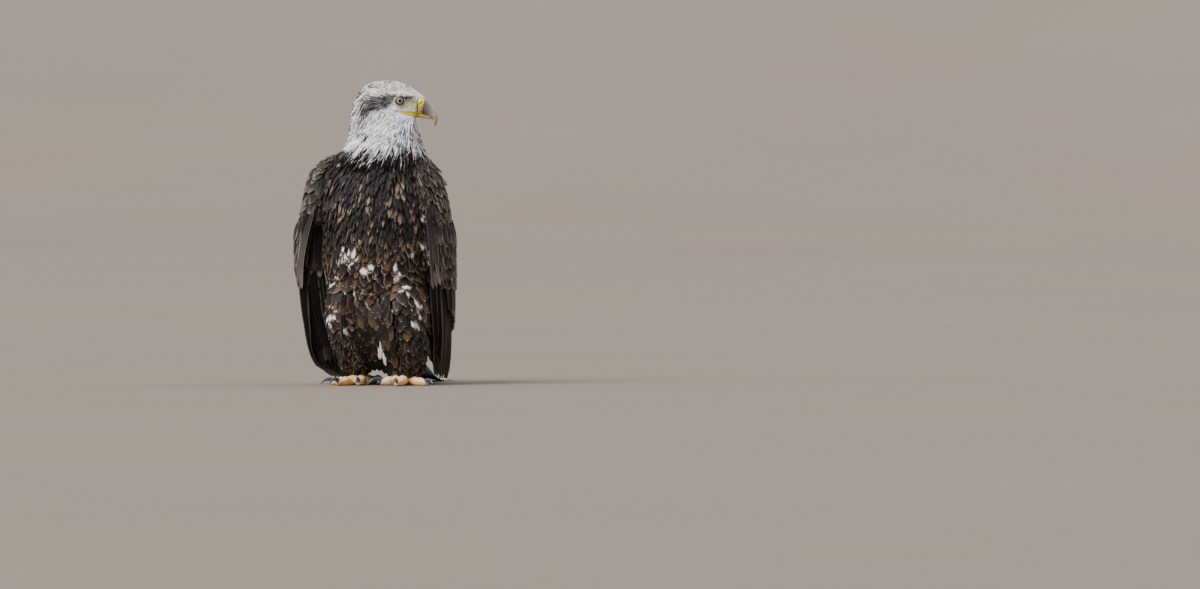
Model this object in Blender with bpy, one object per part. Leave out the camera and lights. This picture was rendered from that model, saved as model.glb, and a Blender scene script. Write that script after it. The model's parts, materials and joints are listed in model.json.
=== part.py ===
"""Bald eagle, a bird in its third or fourth winter, as a still life-size model.

It stands upright and faces -Y, with its own left side towards +X, its head turned over its left
shoulder, its wings drooped a little away from the body and its tail laid back on the floor.
Every sub-part is one closed solid. Soft parts include the depth of their plumage, so the solids
give the outline of the feathered bird. Metres, +Z up, floor at Z = 0.
"""

import math

import bmesh
import bpy
import numpy as np
from mathutils import Matrix, Vector

# ---------------------------------------------------------------- driving dimensions, metres
MM = 0.001
GAP = 0.35 * MM              # clearance where two solids meet

HEAD_TURN = math.radians(102)      # from straight ahead (-Y) towards the bird's own left (+X)
HEAD_CENTRE = Vector((0.0075, 0.003, 0.0))
NECK_TOP = 0.500
NECK_FOOT = 0.436

EYE_RADIUS = 0.0122
EYE_FORWARD = 0.027
EYE_HEIGHT = 0.5400
EYE_OFFSET = 0.0238          # of the ball's centre from the head's middle plane

FOOT_CENTRES = {"left": Vector((0.055, -0.018, 0.0)), "right": Vector((-0.032, -0.016, 0.0))}
SHANK_TOP = 0.056            # the bare leg goes up into the feathered thigh to this height
SOLE_DIP = 0.0013            # how far the round toes reach below the floor before they are cut flat

WING_SPLIT = 0.222           # height at which the coverts end and the long feathers show
WING_FLOOR = 0.0055          # lowest point of the wing tips above the floor
ARM_THICKNESS = 0.023        # of the folded arm with its coverts, near the shoulder
COVERT_THICKNESS = 0.0105    # of the coverts where the long feathers come out
SECONDARY_TUCK = (0.0026, 0.0082)  # depth of the primaries below the secondaries, low and high
PRIMARY_THICKNESS = (0.0032, 0.0060)  # of the fan of primaries at its tips and at its top
CLAW_RISE = math.radians(38)       # slope of a claw where it leaves the toe
CLAW_FALL = math.radians(-74)      # slope of a claw at its point
CLAW_CLEARANCE = 0.0011            # of the claws' points above the floor

# height, middle X, half width, front Y, back Y of the body from the vent up to the jaw
BODY = [
    (0.064, 0.004, 0.030, 0.006, 0.052),
    (0.076, 0.004, 0.052, -0.020, 0.080),
    (0.100, 0.002, 0.074, -0.050, 0.104),
    (0.150, 0.000, 0.095, -0.074, 0.116),
    (0.200, -0.002, 0.104, -0.091, 0.115),
    (0.260, -0.003, 0.107, -0.106, 0.112),
    (0.320, -0.001, 0.105, -0.113, 0.107),
    (0.370, 0.001, 0.100, -0.109, 0.098),
    (0.412, 0.002, 0.091, -0.094, 0.083),
    (0.440, 0.004, 0.079, -0.078, 0.068),
    (0.462, 0.009, 0.070, -0.064, 0.058),
    (0.482, 0.007, 0.067, -0.051, 0.050),
    (0.506, 0.008, 0.063, -0.040, 0.045),
]
BODY_ROUNDNESS = 2.25        # exponent of the superellipse, 2 is an ellipse

# distance forward, crown height, height of the widest point, half width of the head
HEAD = [
    (-0.0625, 0.506, 0.500, 0.020),
    (-0.058, 0.524, 0.505, 0.029),
    (-0.050, 0.548, 0.510, 0.0355),
    (-0.038, 0.566, 0.514, 0.0390),
    (-0.020, 0.5755, 0.516, 0.0400),
    (0.000, 0.5785, 0.518, 0.0385),
    (0.015, 0.5790, 0.520, 0.0360),
    (0.030, 0.5765, 0.521, 0.0325),
    (0.043, 0.5715, 0.521, 0.0275),
    (0.056, 0.5635, 0.521, 0.0215),
    (0.066, 0.5555, 0.521, 0.0175),
    (0.076, 0.5460, 0.521, 0.0145),
]
HEAD_SQUARENESS = 2.5
CHIN = [(-0.070, 0.470), (0.040, 0.470), (0.058, 0.492), (0.066, 0.5035), (0.080, 0.509)]
BROW_HEIGHT = 0.553
BROW_BULGE = 0.0030
LORE_HOLLOW = 0.0022

# rings of the bill: forward and height of the upper edge, the same of the lower edge, half width
CERE = [
    (0.0705, 0.5510, 0.0615, 0.5138, 0.0150),
    (0.0740, 0.5485, 0.0655, 0.5132, 0.0145),
    (0.0782, 0.5445, 0.0722, 0.5128, 0.0128),
]
BILL_UPPER = [
    (0.0787, 0.5432, 0.0727, 0.5128, 0.0124),
    (0.0850, 0.5405, 0.0775, 0.5114, 0.0112),
    (0.0915, 0.5348, 0.0830, 0.5094, 0.0098),
    (0.0970, 0.5272, 0.0880, 0.5076, 0.0082),
    (0.1010, 0.5180, 0.0920, 0.5060, 0.0066),
    (0.1029, 0.5088, 0.0948, 0.5030, 0.0048),
    (0.1022, 0.4998, 0.0962, 0.4975, 0.0032),
    (0.0988, 0.4915, 0.0972, 0.4915, 0.0011),
]
BILL_LOWER = [
    (0.0480, 0.5152, 0.0480, 0.5080, 0.0130),
    (0.0600, 0.5134, 0.0600, 0.5068, 0.0124),
    (0.0720, 0.5120, 0.0720, 0.5058, 0.0108),
    (0.0820, 0.5086, 0.0820, 0.5042, 0.0082),
    (0.0880, 0.5065, 0.0875, 0.5034, 0.0056),
    (0.0915, 0.5050, 0.0910, 0.5036, 0.0028),
]

# height, then X outwards and Y of the leading edge, of the widest point and of the rear edge
WING_GUIDES = {
    "left": [
        (0.456, 0.050, -0.040, 0.074, 0.000, 0.040, 0.052),
        (0.432, 0.066, -0.052, 0.094, -0.004, 0.046, 0.076),
        (0.400, 0.088, -0.060, 0.117, -0.008, 0.046, 0.097),
        (0.350, 0.098, -0.062, 0.132, -0.008, 0.042, 0.112),
        (0.300, 0.102, -0.056, 0.138, -0.004, 0.036, 0.120),
        (0.240, 0.104, -0.048, 0.140, 0.004, 0.033, 0.126),
        (0.170, 0.105, -0.030, 0.139, 0.024, 0.036, 0.134),
        (0.110, 0.107, -0.008, 0.132, 0.048, 0.044, 0.146),
        (0.060, 0.105, 0.014, 0.122, 0.074, 0.052, 0.174),
        (0.025, 0.097, 0.038, 0.111, 0.098, 0.056, 0.206),
        (0.004, 0.086, 0.060, 0.098, 0.116, 0.058, 0.232),
    ],
    "right": [
        (0.456, 0.040, -0.040, 0.058, 0.002, 0.034, 0.052),
        (0.438, 0.066, -0.046, 0.090, 0.004, 0.046, 0.074),
        (0.418, 0.092, -0.050, 0.131, 0.004, 0.050, 0.090),
        (0.390, 0.102, -0.052, 0.146, 0.000, 0.048, 0.102),
        (0.350, 0.110, -0.052, 0.155, -0.002, 0.044, 0.114),
        (0.300, 0.120, -0.048, 0.164, 0.000, 0.040, 0.122),
        (0.240, 0.135, -0.040, 0.169, 0.006, 0.036, 0.128),
        (0.170, 0.140, -0.028, 0.167, 0.022, 0.038, 0.136),
        (0.110, 0.145, -0.006, 0.160, 0.040, 0.046, 0.148),
        (0.060, 0.148, 0.018, 0.154, 0.064, 0.054, 0.176),
        (0.025, 0.137, 0.045, 0.143, 0.092, 0.058, 0.208),
        (0.004, 0.117, 0.072, 0.121, 0.114, 0.060, 0.234),
    ],
}

# height, middle X, middle Y, half width, half depth of the feathered thighs
THIGHS = {
    "left": [
        (0.215, 0.050, -0.018, 0.038, 0.052),
        (0.160, 0.054, -0.024, 0.046, 0.066),
        (0.110, 0.058, -0.026, 0.044, 0.062),
        (0.076, 0.061, -0.024, 0.040, 0.054),
        (0.050, 0.062, -0.021, 0.035, 0.044),
        (0.030, 0.061, -0.018, 0.028, 0.034),
        (0.010, 0.060, -0.016, 0.018, 0.022),
    ],
    "right": [
        (0.215, -0.050, -0.018, 0.038, 0.052),
        (0.160, -0.053, -0.024, 0.048, 0.066),
        (0.110, -0.052, -0.026, 0.045, 0.062),
        (0.076, -0.049, -0.023, 0.041, 0.054),
        (0.050, -0.046, -0.019, 0.036, 0.044),
        (0.030, -0.044, -0.015, 0.029, 0.034),
        (0.010, -0.043, -0.013, 0.018, 0.022),
    ],
}
# height of the thighs' lower edge at their inner and their outer side
THIGH_HEMS = {"left": (0.028, 0.018), "right": (0.040, 0.018)}

# Y and Z of the tail's middle line, its half width and its half thickness
TAIL = [
    (0.088, 0.128, 0.022, 0.024),
    (0.112, 0.103, 0.033, 0.022),
    (0.145, 0.071, 0.038, 0.017),
    (0.182, 0.043, 0.042, 0.013),
    (0.222, 0.0225, 0.045, 0.010),
    (0.262, 0.0105, 0.048, 0.0075),
    (0.302, 0.0050, 0.0505, 0.0056),
    (0.336, 0.0028, 0.052, 0.0042),
    (0.358, 0.0018, 0.047, 0.0032),
    (0.368, 0.0014, 0.034, 0.0026),
]
TAIL_COVERT_END = 0.176      # Y at which the soft coverts give way to the stiff tail feathers

# name: length, radius at the root, radius at the tip, chord of the claw
TOES = {
    "inner": (0.045, 0.0098, 0.0078, 0.032),
    "middle": (0.072, 0.0096, 0.0074, 0.032),
    "outer": (0.056, 0.0088, 0.0070, 0.027),
    "hind": (0.040, 0.0100, 0.0080, 0.038),
}
TOE_START = 0.006            # distance of a toe's root from the middle of the pad
# degrees from straight ahead, positive towards the bird's own outer side
TOE_DIRECTIONS = {
    "left": {"inner": -56, "middle": 1, "outer": 52, "hind": 176},
    "right": {"inner": -6, "middle": 22, "outer": 56, "hind": 196},
}

# name: base colour, roughness, metallic
MATERIALS = {
    "white_plumage": ((0.72, 0.73, 0.74), 0.85, 0.0),
    "dark_plumage": ((0.045, 0.036, 0.034), 0.80, 0.0),
    "wing_coverts": ((0.105, 0.080, 0.068), 0.78, 0.0),
    "flight_feathers": ((0.028, 0.026, 0.028), 0.62, 0.0),
    "tail_plumage": ((0.58, 0.58, 0.57), 0.75, 0.0),
    "yellow_scutes": ((0.62, 0.42, 0.20), 0.55, 0.0),
    "yellow_cere": ((0.62, 0.47, 0.14), 0.45, 0.0),
    "horn": ((0.30, 0.25, 0.22), 0.35, 0.0),
    "claw": ((0.085, 0.098, 0.118), 0.30, 0.0),
    "eye": ((0.26, 0.21, 0.15), 0.05, 0.0),
}


# ---------------------------------------------------------------- helpers
def smooth(stations, at):
    """Read a smooth curve through the stations; their first column is the parameter."""
    rows = np.array(stations, dtype=float)
    order = np.argsort(rows[:, 0])
    knots = rows[order, 0]
    values = rows[order, 1:]
    slopes = np.gradient(values, knots, axis=0)
    at = float(np.clip(at, knots[0], knots[-1]))
    i = int(np.clip(np.searchsorted(knots, at) - 1, 0, len(knots) - 2))
    step = knots[i + 1] - knots[i]
    t = (at - knots[i]) / step
    start = values[i] * (2 * t**3 - 3 * t**2 + 1) + slopes[i] * step * (t**3 - 2 * t**2 + t)
    end = values[i + 1] * (3 * t**2 - 2 * t**3) + slopes[i + 1] * step * (t**3 - t**2)
    return start + end


def ramp(value, low, high):
    """Rise smoothly from 0 at low to 1 at high."""
    t = min(max((value - low) / (high - low), 0.0), 1.0)
    return t * t * (3 - 2 * t)


def signed_power(value, exponent):
    return math.copysign(abs(value) ** exponent, value)


def superellipse(segments, exponent=2.0):
    """Unit superellipse as (across, up) pairs, anticlockwise from +across."""
    pairs = []
    for k in range(segments):
        angle = 2 * math.pi * k / segments
        across = signed_power(math.cos(angle), 2 / exponent)
        up = signed_power(math.sin(angle), 2 / exponent)
        pairs.append((across, up))
    return pairs


def material(name):
    made = bpy.data.materials.get(name)
    if made:
        return made
    colour, roughness, metallic = MATERIALS[name]
    made = bpy.data.materials.new(name)
    made.use_nodes = True
    shader = made.node_tree.nodes["Principled BSDF"]
    shader.inputs["Base Color"].default_value = (*colour, 1.0)
    shader.inputs["Roughness"].default_value = roughness
    shader.inputs["Metallic"].default_value = metallic
    made.diffuse_color = (*colour, 1.0)
    return made


def finish(name, bm, material_name, parent=None):
    """Turn a bmesh into a smooth-shaded object with its own material."""
    bmesh.ops.recalc_face_normals(bm, faces=bm.faces[:])
    mesh = bpy.data.meshes.new(name)
    bm.to_mesh(mesh)
    bm.free()
    mesh.shade_smooth()
    mesh.set_sharp_from_angle(angle=math.radians(50))
    obj = bpy.data.objects.new(name, mesh)
    obj.data.materials.append(material(material_name))
    bpy.context.collection.objects.link(obj)
    if parent:
        obj.parent = parent
    return obj


def loft(rings):
    """Bridge closed rings of equal length into one closed solid with flat ends."""
    bm = bmesh.new()
    loops = [[bm.verts.new(point) for point in ring] for ring in rings]
    count = len(loops[0])
    for lower, upper in zip(loops, loops[1:]):
        for k in range(count):
            nxt = (k + 1) % count
            bm.faces.new((lower[k], lower[nxt], upper[nxt], upper[k]))
    bm.faces.new(loops[0][::-1])
    bm.faces.new(loops[-1])
    return bm


def slice_off(bm, point, normal):
    """Remove what lies beyond a plane and close the cut with a flat face."""
    geometry = bm.verts[:] + bm.edges[:] + bm.faces[:]
    bmesh.ops.bisect_plane(bm, geom=geometry, dist=1e-6, plane_co=point, plane_no=normal,
                           clear_outer=True)
    rim = [edge for edge in bm.edges if edge.is_boundary]
    bmesh.ops.holes_fill(bm, edges=rim, sides=0)
    return bm


def cut_by(target, *others):
    """Take the others, grown by the clearance, out of the target with exact Booleans."""
    for other in others:
        bpy.context.view_layer.update()
        grown = bmesh.new()
        grown.from_mesh(other.data)
        grown.transform(other.matrix_world)
        grown.normal_update()
        for vert in grown.verts:
            sharpness = max(vert.calc_shell_factor(), 1.0)
            vert.co += vert.normal * GAP * min(sharpness, 2.0)
        mesh = bpy.data.meshes.new("cutter")
        grown.to_mesh(mesh)
        grown.free()
        cutter = bpy.data.objects.new("cutter", mesh)
        cutter.hide_render = True
        cutter.display_type = "WIRE"
        bpy.context.collection.objects.link(cutter)
        boolean = target.modifiers.new("clearance", "BOOLEAN")
        boolean.operation = "DIFFERENCE"
        boolean.solver = "EXACT"
        boolean.object = cutter
        depsgraph = bpy.context.evaluated_depsgraph_get()
        result = bpy.data.meshes.new_from_object(target.evaluated_get(depsgraph))
        target.modifiers.remove(boolean)
        old = target.data
        target.data = result
        result.name = target.name
        bpy.data.meshes.remove(old)
        bpy.data.objects.remove(cutter)
        bpy.data.meshes.remove(mesh)
        keep_largest_body(target)


def keep_largest_body(obj):
    """Drop the slivers that a cut leaves apart from the main solid."""
    bm = bmesh.new()
    bm.from_mesh(obj.data)
    bmesh.ops.remove_doubles(bm, verts=bm.verts[:], dist=2e-5)
    bmesh.ops.dissolve_degenerate(bm, edges=bm.edges[:], dist=1e-6)
    unseen = set(bm.faces)
    bodies = []
    while unseen:
        waiting = [unseen.pop()]
        body = []
        while waiting:
            face = waiting.pop()
            body.append(face)
            near = {other for edge in face.edges for other in edge.link_faces}
            fresh = near & unseen
            unseen -= fresh
            waiting.extend(fresh)
        bodies.append(body)
    bodies.sort(key=len, reverse=True)
    for body in bodies[1:]:
        bmesh.ops.delete(bm, geom=body, context="FACES")
    bm.to_mesh(obj.data)
    bm.free()


# ---------------------------------------------------------------- neck and trunk
def body_ring(height, segments):
    middle_x, half_width, front, back = smooth(BODY, height)
    middle_y = (front + back) / 2
    half_depth = (back - front) / 2
    ring = []
    for across, along in superellipse(segments, BODY_ROUNDNESS):
        ring.append(Vector((middle_x + half_width * across, middle_y + half_depth * along, height)))
    return ring


def even_steps(first, last, count):
    return [first + (last - first) * k / (count - 1) for k in range(count)]


def body_solid(name, heights, material_name):
    return finish(name, loft([body_ring(height, 22) for height in heights]), material_name)


def make_body():
    """The trunk and the neck, and the whole body in one piece to fit the wings to."""
    trunk_heights = even_steps(BODY[0][0], NECK_FOOT, 18)
    neck_heights = even_steps(NECK_FOOT + GAP, NECK_TOP, 6)
    trunk = body_solid("trunk", trunk_heights, "dark_plumage")
    body_solid("neck", neck_heights, "white_plumage")
    whole = body_solid("whole_body", trunk_heights + neck_heights[1:], "dark_plumage")
    whole.hide_render = True
    whole.display_type = "WIRE"
    return trunk, whole


# ---------------------------------------------------------------- head, bill and eyes
def head_ring(forward, segments):
    """A slice across the head: (-Y forward, X sideways), domed above and full below."""
    crown, widest, half_width = smooth(HEAD, forward)
    chin = smooth(CHIN, forward)[0]
    ring = []
    for across, up in superellipse(segments, HEAD_SQUARENESS):
        rise = (crown - widest) if up > 0 else (widest - chin)
        height = widest + rise * up
        near_brow = math.exp(-((height - BROW_HEIGHT) / 0.008) ** 2)
        near_brow *= math.exp(-((forward - 0.034) / 0.018) ** 2)
        near_lore = math.exp(-((height - 0.531) / 0.009) ** 2)
        near_lore *= math.exp(-((forward - 0.050) / 0.012) ** 2)
        swell = (BROW_BULGE * near_brow - LORE_HOLLOW * near_lore) * abs(across)
        reach = half_width * across + math.copysign(swell, across)
        ring.append(Vector((reach, -forward, height)))
    return ring


def bill_ring(station, segments, exponent):
    """A ring of the bill between its upper and its lower edge, across the middle plane."""
    top = Vector((0.0, -station[0], station[1]))
    bottom = Vector((0.0, -station[2], station[3]))
    middle = (top + bottom) / 2
    half = (top - bottom) / 2
    sideways = Vector((station[4], 0.0, 0.0))
    return [middle + sideways * across + half * up for across, up in superellipse(segments, exponent)]


def bill_piece(name, stations, rings, segments, exponent, material_name, pivot):
    rows = [(k, *station) for k, station in enumerate(stations)]
    steps = even_steps(0, len(stations) - 1, rings)
    solid = loft([bill_ring(smooth(rows, step), segments, exponent) for step in steps])
    return finish(name, solid, material_name, pivot)


def make_eye(name, side, pivot):
    bm = bmesh.new()
    turned = Matrix.Rotation(math.radians(90), 4, "Y")
    bmesh.ops.create_uvsphere(bm, u_segments=12, v_segments=8, radius=EYE_RADIUS, matrix=turned)
    eye = finish(name, bm, "eye", pivot)
    eye.location = (side * EYE_OFFSET, -EYE_FORWARD, EYE_HEIGHT)
    return eye


def make_head():
    pivot = bpy.data.objects.new("head_pivot", None)
    bpy.context.collection.objects.link(pivot)
    pivot.location = HEAD_CENTRE
    pivot.rotation_euler.z = HEAD_TURN

    first, last = HEAD[0][0], HEAD[-1][0]
    solid = loft([head_ring(place, 20) for place in even_steps(first, last, 21)])
    slice_off(solid, (0, 0, NECK_TOP + GAP), (0, 0, -1))
    rear = CERE[0]
    slope = Vector((0.0, -(rear[0] - rear[2]), rear[1] - rear[3])).normalized()
    face_normal = Vector((1, 0, 0)).cross(slope)
    if face_normal.y > 0:
        face_normal.negate()
    face_point = Vector((0.0, -rear[0], rear[1])) - face_normal * GAP
    slice_off(solid, face_point, face_normal)
    head = finish("head", solid, "white_plumage", pivot)

    cere = bill_piece("cere", CERE, 3, 16, 2.2, "yellow_cere", pivot)
    upper = bill_piece("bill_upper", BILL_UPPER, 12, 12, 2.2, "horn", pivot)
    lower = bill_piece("bill_lower", BILL_LOWER, 8, 12, 2.4, "horn", pivot)
    eyes = [make_eye("eye_left", 1, pivot), make_eye("eye_right", -1, pivot)]
    cut_by(cere, lower)
    cut_by(upper, lower, cere)
    cut_by(head, lower, cere, *eyes)


# ---------------------------------------------------------------- wings
def wing_point(side, height, part):
    """Outer surface of a folded wing; part runs from the leading edge (0) to the rear edge (1)."""
    lead_x, lead_y, wide_x, wide_y, rear_x, rear_y = smooth(WING_GUIDES[side], height)
    front_angle = -math.acos(min(lead_x / wide_x, 0.995))
    rear_angle = math.acos(rear_x / wide_x)
    front_depth = (wide_y - lead_y) / math.sin(-front_angle)
    rear_depth = (rear_y - wide_y) / math.sin(rear_angle)
    angle = front_angle + (rear_angle - front_angle) * part
    depth = front_depth if angle < 0 else rear_depth
    outwards = 1 if side == "left" else -1
    return Vector((outwards * wide_x * math.cos(angle), wide_y + depth * math.sin(angle), height))


def wing_normal(side, height, part):
    """Level direction out of the wing's outer surface."""
    step = 0.01
    before = wing_point(side, height, max(part - step, 0.0))
    after = wing_point(side, height, min(part + step, 1.0))
    along = (after - before).normalized()
    outwards = 1 if side == "left" else -1
    return Vector((along.y, -along.x, 0.0)) * outwards


def wing_solid(side, parts, top, bottom_of, outer_of, inner_of, rows, columns):
    """A curved plate between two depths below the wing's outer surface."""
    bm = bmesh.new()
    outer = []
    inner = []
    for i in range(rows + 1):
        outer_row = []
        inner_row = []
        for j in range(columns + 1):
            part = parts[0] + (parts[1] - parts[0]) * j / columns
            bottom = bottom_of(part)
            height = top + (bottom - top) * i / rows
            point = wing_point(side, height, part)
            normal = wing_normal(side, height, part)
            outer_row.append(bm.verts.new(point - normal * outer_of(height, part)))
            inner_row.append(bm.verts.new(point - normal * inner_of(height, part)))
        outer.append(outer_row)
        inner.append(inner_row)
    for i in range(rows):
        for j in range(columns):
            bm.faces.new((outer[i][j], outer[i][j + 1], outer[i + 1][j + 1], outer[i + 1][j]))
            bm.faces.new((inner[i][j], inner[i + 1][j], inner[i + 1][j + 1], inner[i][j + 1]))
    for i in range(rows):
        bm.faces.new((outer[i][0], outer[i + 1][0], inner[i + 1][0], inner[i][0]))
        bm.faces.new((outer[i][columns], inner[i][columns], inner[i + 1][columns], outer[i + 1][columns]))
    for j in range(columns):
        bm.faces.new((outer[0][j], inner[0][j], inner[0][j + 1], outer[0][j + 1]))
        bm.faces.new((outer[rows][j], outer[rows][j + 1], inner[rows][j + 1], inner[rows][j]))
    return bm


def surface(height, part):
    return 0.0


def covert_end(part):
    return WING_SPLIT


def covert_depth(height, part):
    """The arm and its coverts: thick at the shoulder, thinner at the free edges."""
    thick = COVERT_THICKNESS + (ARM_THICKNESS - COVERT_THICKNESS) * ramp(height, 0.24, 0.40)
    edge = 0.45 + 0.55 * ramp(part, 0.0, 0.16) * ramp(1 - part, 0.0, 0.20)
    return thick * edge


def tuck(height):
    """How far the primaries lie below the secondaries."""
    low, high = SECONDARY_TUCK
    return low + (high - low) * ramp(height, 0.08, WING_SPLIT)


def secondary_end(part):
    """Height of the secondaries' lower edge, longest in the middle of the wing."""
    return 0.082 + 0.050 * (1 - ramp(part, 0.30, 0.75)) + 0.030 * ramp(part, 0.86, 1.0)


def primary_end(part):
    """Height of the primaries' tips, which step up towards both edges of the wing."""
    leading = max(1 - part / 0.14, 0.0)
    rear = max((part - 0.62) / 0.30, 0.0)
    return WING_FLOOR + 0.026 * leading**2 + 0.050 * rear**2


def secondary_inner(height, part):
    return tuck(height) - 2 * GAP


def primary_outer(height, part):
    return tuck(height) * ramp(part, 0.15, 0.24)


def primary_inner(height, part):
    tip, top = PRIMARY_THICKNESS
    return primary_outer(height, part) + tip + (top - tip) * ramp(height, 0.02, 0.20)


def make_wing(side, body):
    name = "wing_" + side
    shoulder = WING_GUIDES[side][0][0]
    arm = wing_solid(side, (0.0, 1.0), shoulder, covert_end, surface, covert_depth, 9, 10)
    coverts = finish(name + "_coverts", arm, "wing_coverts")
    below = WING_SPLIT - GAP
    upper_fan = wing_solid(side, (0.26, 1.0), below, secondary_end, surface, secondary_inner, 7, 8)
    finish(name + "_secondaries", upper_fan, "flight_feathers")
    lower_fan = wing_solid(side, (0.0, 0.84), below, primary_end, primary_outer, primary_inner, 10, 9)
    finish(name + "_primaries", lower_fan, "flight_feathers")
    cut_by(coverts, body)


# ---------------------------------------------------------------- tail
def tail_ring(step, segments):
    stations = [(k, *row) for k, row in enumerate(TAIL)]
    middle_y, middle_z, half_width, half_thickness = smooth(stations, step)
    before = smooth(stations, max(step - 0.05, 0))
    after = smooth(stations, min(step + 0.05, len(TAIL) - 1))
    along = Vector((0.0, after[0] - before[0], after[1] - before[1])).normalized()
    up = Vector((0.0, -along.z, along.y))
    middle = Vector((0.0, middle_y, middle_z))
    ring = []
    for across, lift in superellipse(segments, 2.3):
        droop = -0.16 * half_thickness * across * across
        ring.append(middle + Vector((half_width * across, 0, 0)) + up * (half_thickness * lift + droop))
    return ring


def make_tail(trunk):
    places = even_steps(0, len(TAIL) - 1, 16)
    border = Vector((0.0, TAIL_COVERT_END, 0.0))
    rear = Vector((0.0, 1.0, -0.55)).normalized()
    coverts = loft([tail_ring(place, 16) for place in places])
    slice_off(coverts, border, rear)
    coverts = finish("tail_coverts", coverts, "tail_plumage")
    feathers = loft([tail_ring(place, 16) for place in places])
    slice_off(feathers, border + rear * GAP, -rear)
    slice_off(feathers, (0, 0, 0), (0, 0, -1))
    finish("tail_feathers", feathers, "tail_plumage")
    cut_by(coverts, trunk)


# ---------------------------------------------------------------- legs, toes and claws
def make_thigh(side, trunk):
    stations = THIGHS[side]
    circles = []
    for height in even_steps(stations[-1][0], stations[0][0], 10):
        middle_x, middle_y, half_width, half_depth = smooth(stations, height)
        circles.append([Vector((middle_x + half_width * a, middle_y + half_depth * b, height))
                        for a, b in superellipse(16)])
    solid = loft(circles)
    inner, outer = THIGH_HEMS[side]
    _, middle_x, _, half_width, _ = stations[-2]
    outwards = 1 if side == "left" else -1
    hem = Vector((outwards * 2 * half_width, 0.0, outer - inner)).normalized()
    downwards = Vector((outwards * hem.z, 0.0, -abs(hem.x)))
    slice_off(solid, (middle_x, 0.0, (inner + outer) / 2), downwards)
    thigh = finish("thigh_" + side, solid, "dark_plumage")
    cut_by(thigh, trunk)
    return thigh


def make_tarsus(side):
    """The bare shank and the pad that the toes grow from."""
    foot = FOOT_CENTRES[side]
    lean = Vector((0.003 if side == "left" else -0.003, -0.002, 0.0))
    shape = [(SHANK_TOP, 0.0105, 0.0115), (0.034, 0.0100, 0.0112), (0.024, 0.0108, 0.0120),
             (0.016, 0.0138, 0.0146), (0.010, 0.0165, 0.0165), (0.003, 0.0150, 0.0150),
             (-0.0006, 0.0125, 0.0125)]
    rings = []
    for height, half_width, half_depth in shape:
        middle = foot + lean * (height / SHANK_TOP) + Vector((0, 0, height))
        rings.append([middle + Vector((half_width * a, half_depth * b, 0)) for a, b in superellipse(12)])
    solid = loft(rings[::-1])
    slice_off(solid, (0, 0, 0), (0, 0, -1))
    return finish("tarsus_" + side, solid, "yellow_scutes")


def toe_direction(side, toe):
    """Level direction in which a toe points."""
    outwards = 1 if side == "left" else -1
    angle = math.radians(TOE_DIRECTIONS[side][toe])
    return Vector((outwards * math.sin(angle), -math.cos(angle), 0.0))


def tube(path, radii, segments, flatten=1.0):
    """Rings round a path that stays in one upright plane."""
    rings = []
    for k, centre in enumerate(path):
        before = path[max(k - 1, 0)]
        after = path[min(k + 1, len(path) - 1)]
        along = (after - before).normalized()
        across = along.cross(Vector((0, 0, 1))).normalized()
        up = across.cross(along)
        rings.append([centre + across * radii[k] * flatten * a + up * radii[k] * b
                      for a, b in superellipse(segments)])
    return loft(rings)


def make_toe(side, toe):
    length, root, tip, _ = TOES[toe]
    foot = FOOT_CENTRES[side]
    direction = toe_direction(side, toe)
    rings = 7
    path = []
    radii = []
    for k in range(rings):
        t = k / (rings - 1)
        knuckle = 0.0006 * math.cos(6 * math.pi * t)
        radius = root + (tip - root) * t + knuckle
        if k == rings - 1:
            radius *= 0.62
        radii.append(radius)
        reach = TOE_START + length * t
        height = radius - SOLE_DIP + 0.0035 * (1 - t) ** 2
        if k == rings - 1:
            height = tip - SOLE_DIP
        path.append(foot + direction * reach + Vector((0, 0, height)))
    solid = tube(path, radii, 10)
    slice_off(solid, (0, 0, 0), (0, 0, -1))
    return finish("toe_" + side + "_" + toe, solid, "yellow_scutes")


def make_claw(side, toe):
    """A hooked claw: an arc that leaves the toe upwards and comes down to a point."""
    length, _, tip, chord = TOES[toe]
    foot = FOOT_CENTRES[side]
    direction = toe_direction(side, toe)
    turn = CLAW_RISE - CLAW_FALL
    radius = chord / (2 * math.sin(turn / 2))
    rings = 7
    place = foot + direction * (TOE_START + length - 0.004) + Vector((0, 0, tip + 0.0012))
    path = [place]
    for k in range(1, rings):
        heading = CLAW_RISE - turn * (k - 0.5) / (rings - 1)
        step = radius * turn / (rings - 1)
        place = place + (direction * math.cos(heading) + Vector((0, 0, math.sin(heading)))) * step
        path.append(place)
    drop = path[-1].z - CLAW_CLEARANCE
    for k, point in enumerate(path):
        point.z -= drop * (k / (rings - 1)) ** 2
    thick = 0.60 * tip
    radii = [thick * (1 - k / (rings - 1)) ** 0.75 + 0.0005 for k in range(rings)]
    return finish("claw_" + side + "_" + toe, tube(path, radii, 8, flatten=0.82), "claw")


def make_foot(side, thigh):
    tarsus = make_tarsus(side)
    cut_by(thigh, tarsus)
    toes = {toe: make_toe(side, toe) for toe in TOES}
    for toe, obj in toes.items():
        if toe == "middle":
            cut_by(obj, tarsus)
        elif toe == "hind":
            cut_by(obj, tarsus, toes["inner"], toes["outer"])
        else:
            cut_by(obj, tarsus, toes["middle"])
    for toe, obj in toes.items():
        cut_by(make_claw(side, toe), obj)


# ---------------------------------------------------------------- the whole bird
def settle():
    """Move the bird so that the origin is under the middle of its bounding box, on the floor."""
    bpy.context.view_layer.update()
    solids = [obj for obj in bpy.data.objects if obj.type == "MESH"]
    corners = [obj.matrix_world @ vert.co for obj in solids for vert in obj.data.vertices]
    low = Vector([min(corner[axis] for corner in corners) for axis in range(3)])
    high = Vector([max(corner[axis] for corner in corners) for axis in range(3)])
    shift = Vector((-(low.x + high.x) / 2, -(low.y + high.y) / 2, 0.0))
    for obj in bpy.data.objects:
        if obj.parent is None:
            obj.location += shift


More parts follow.
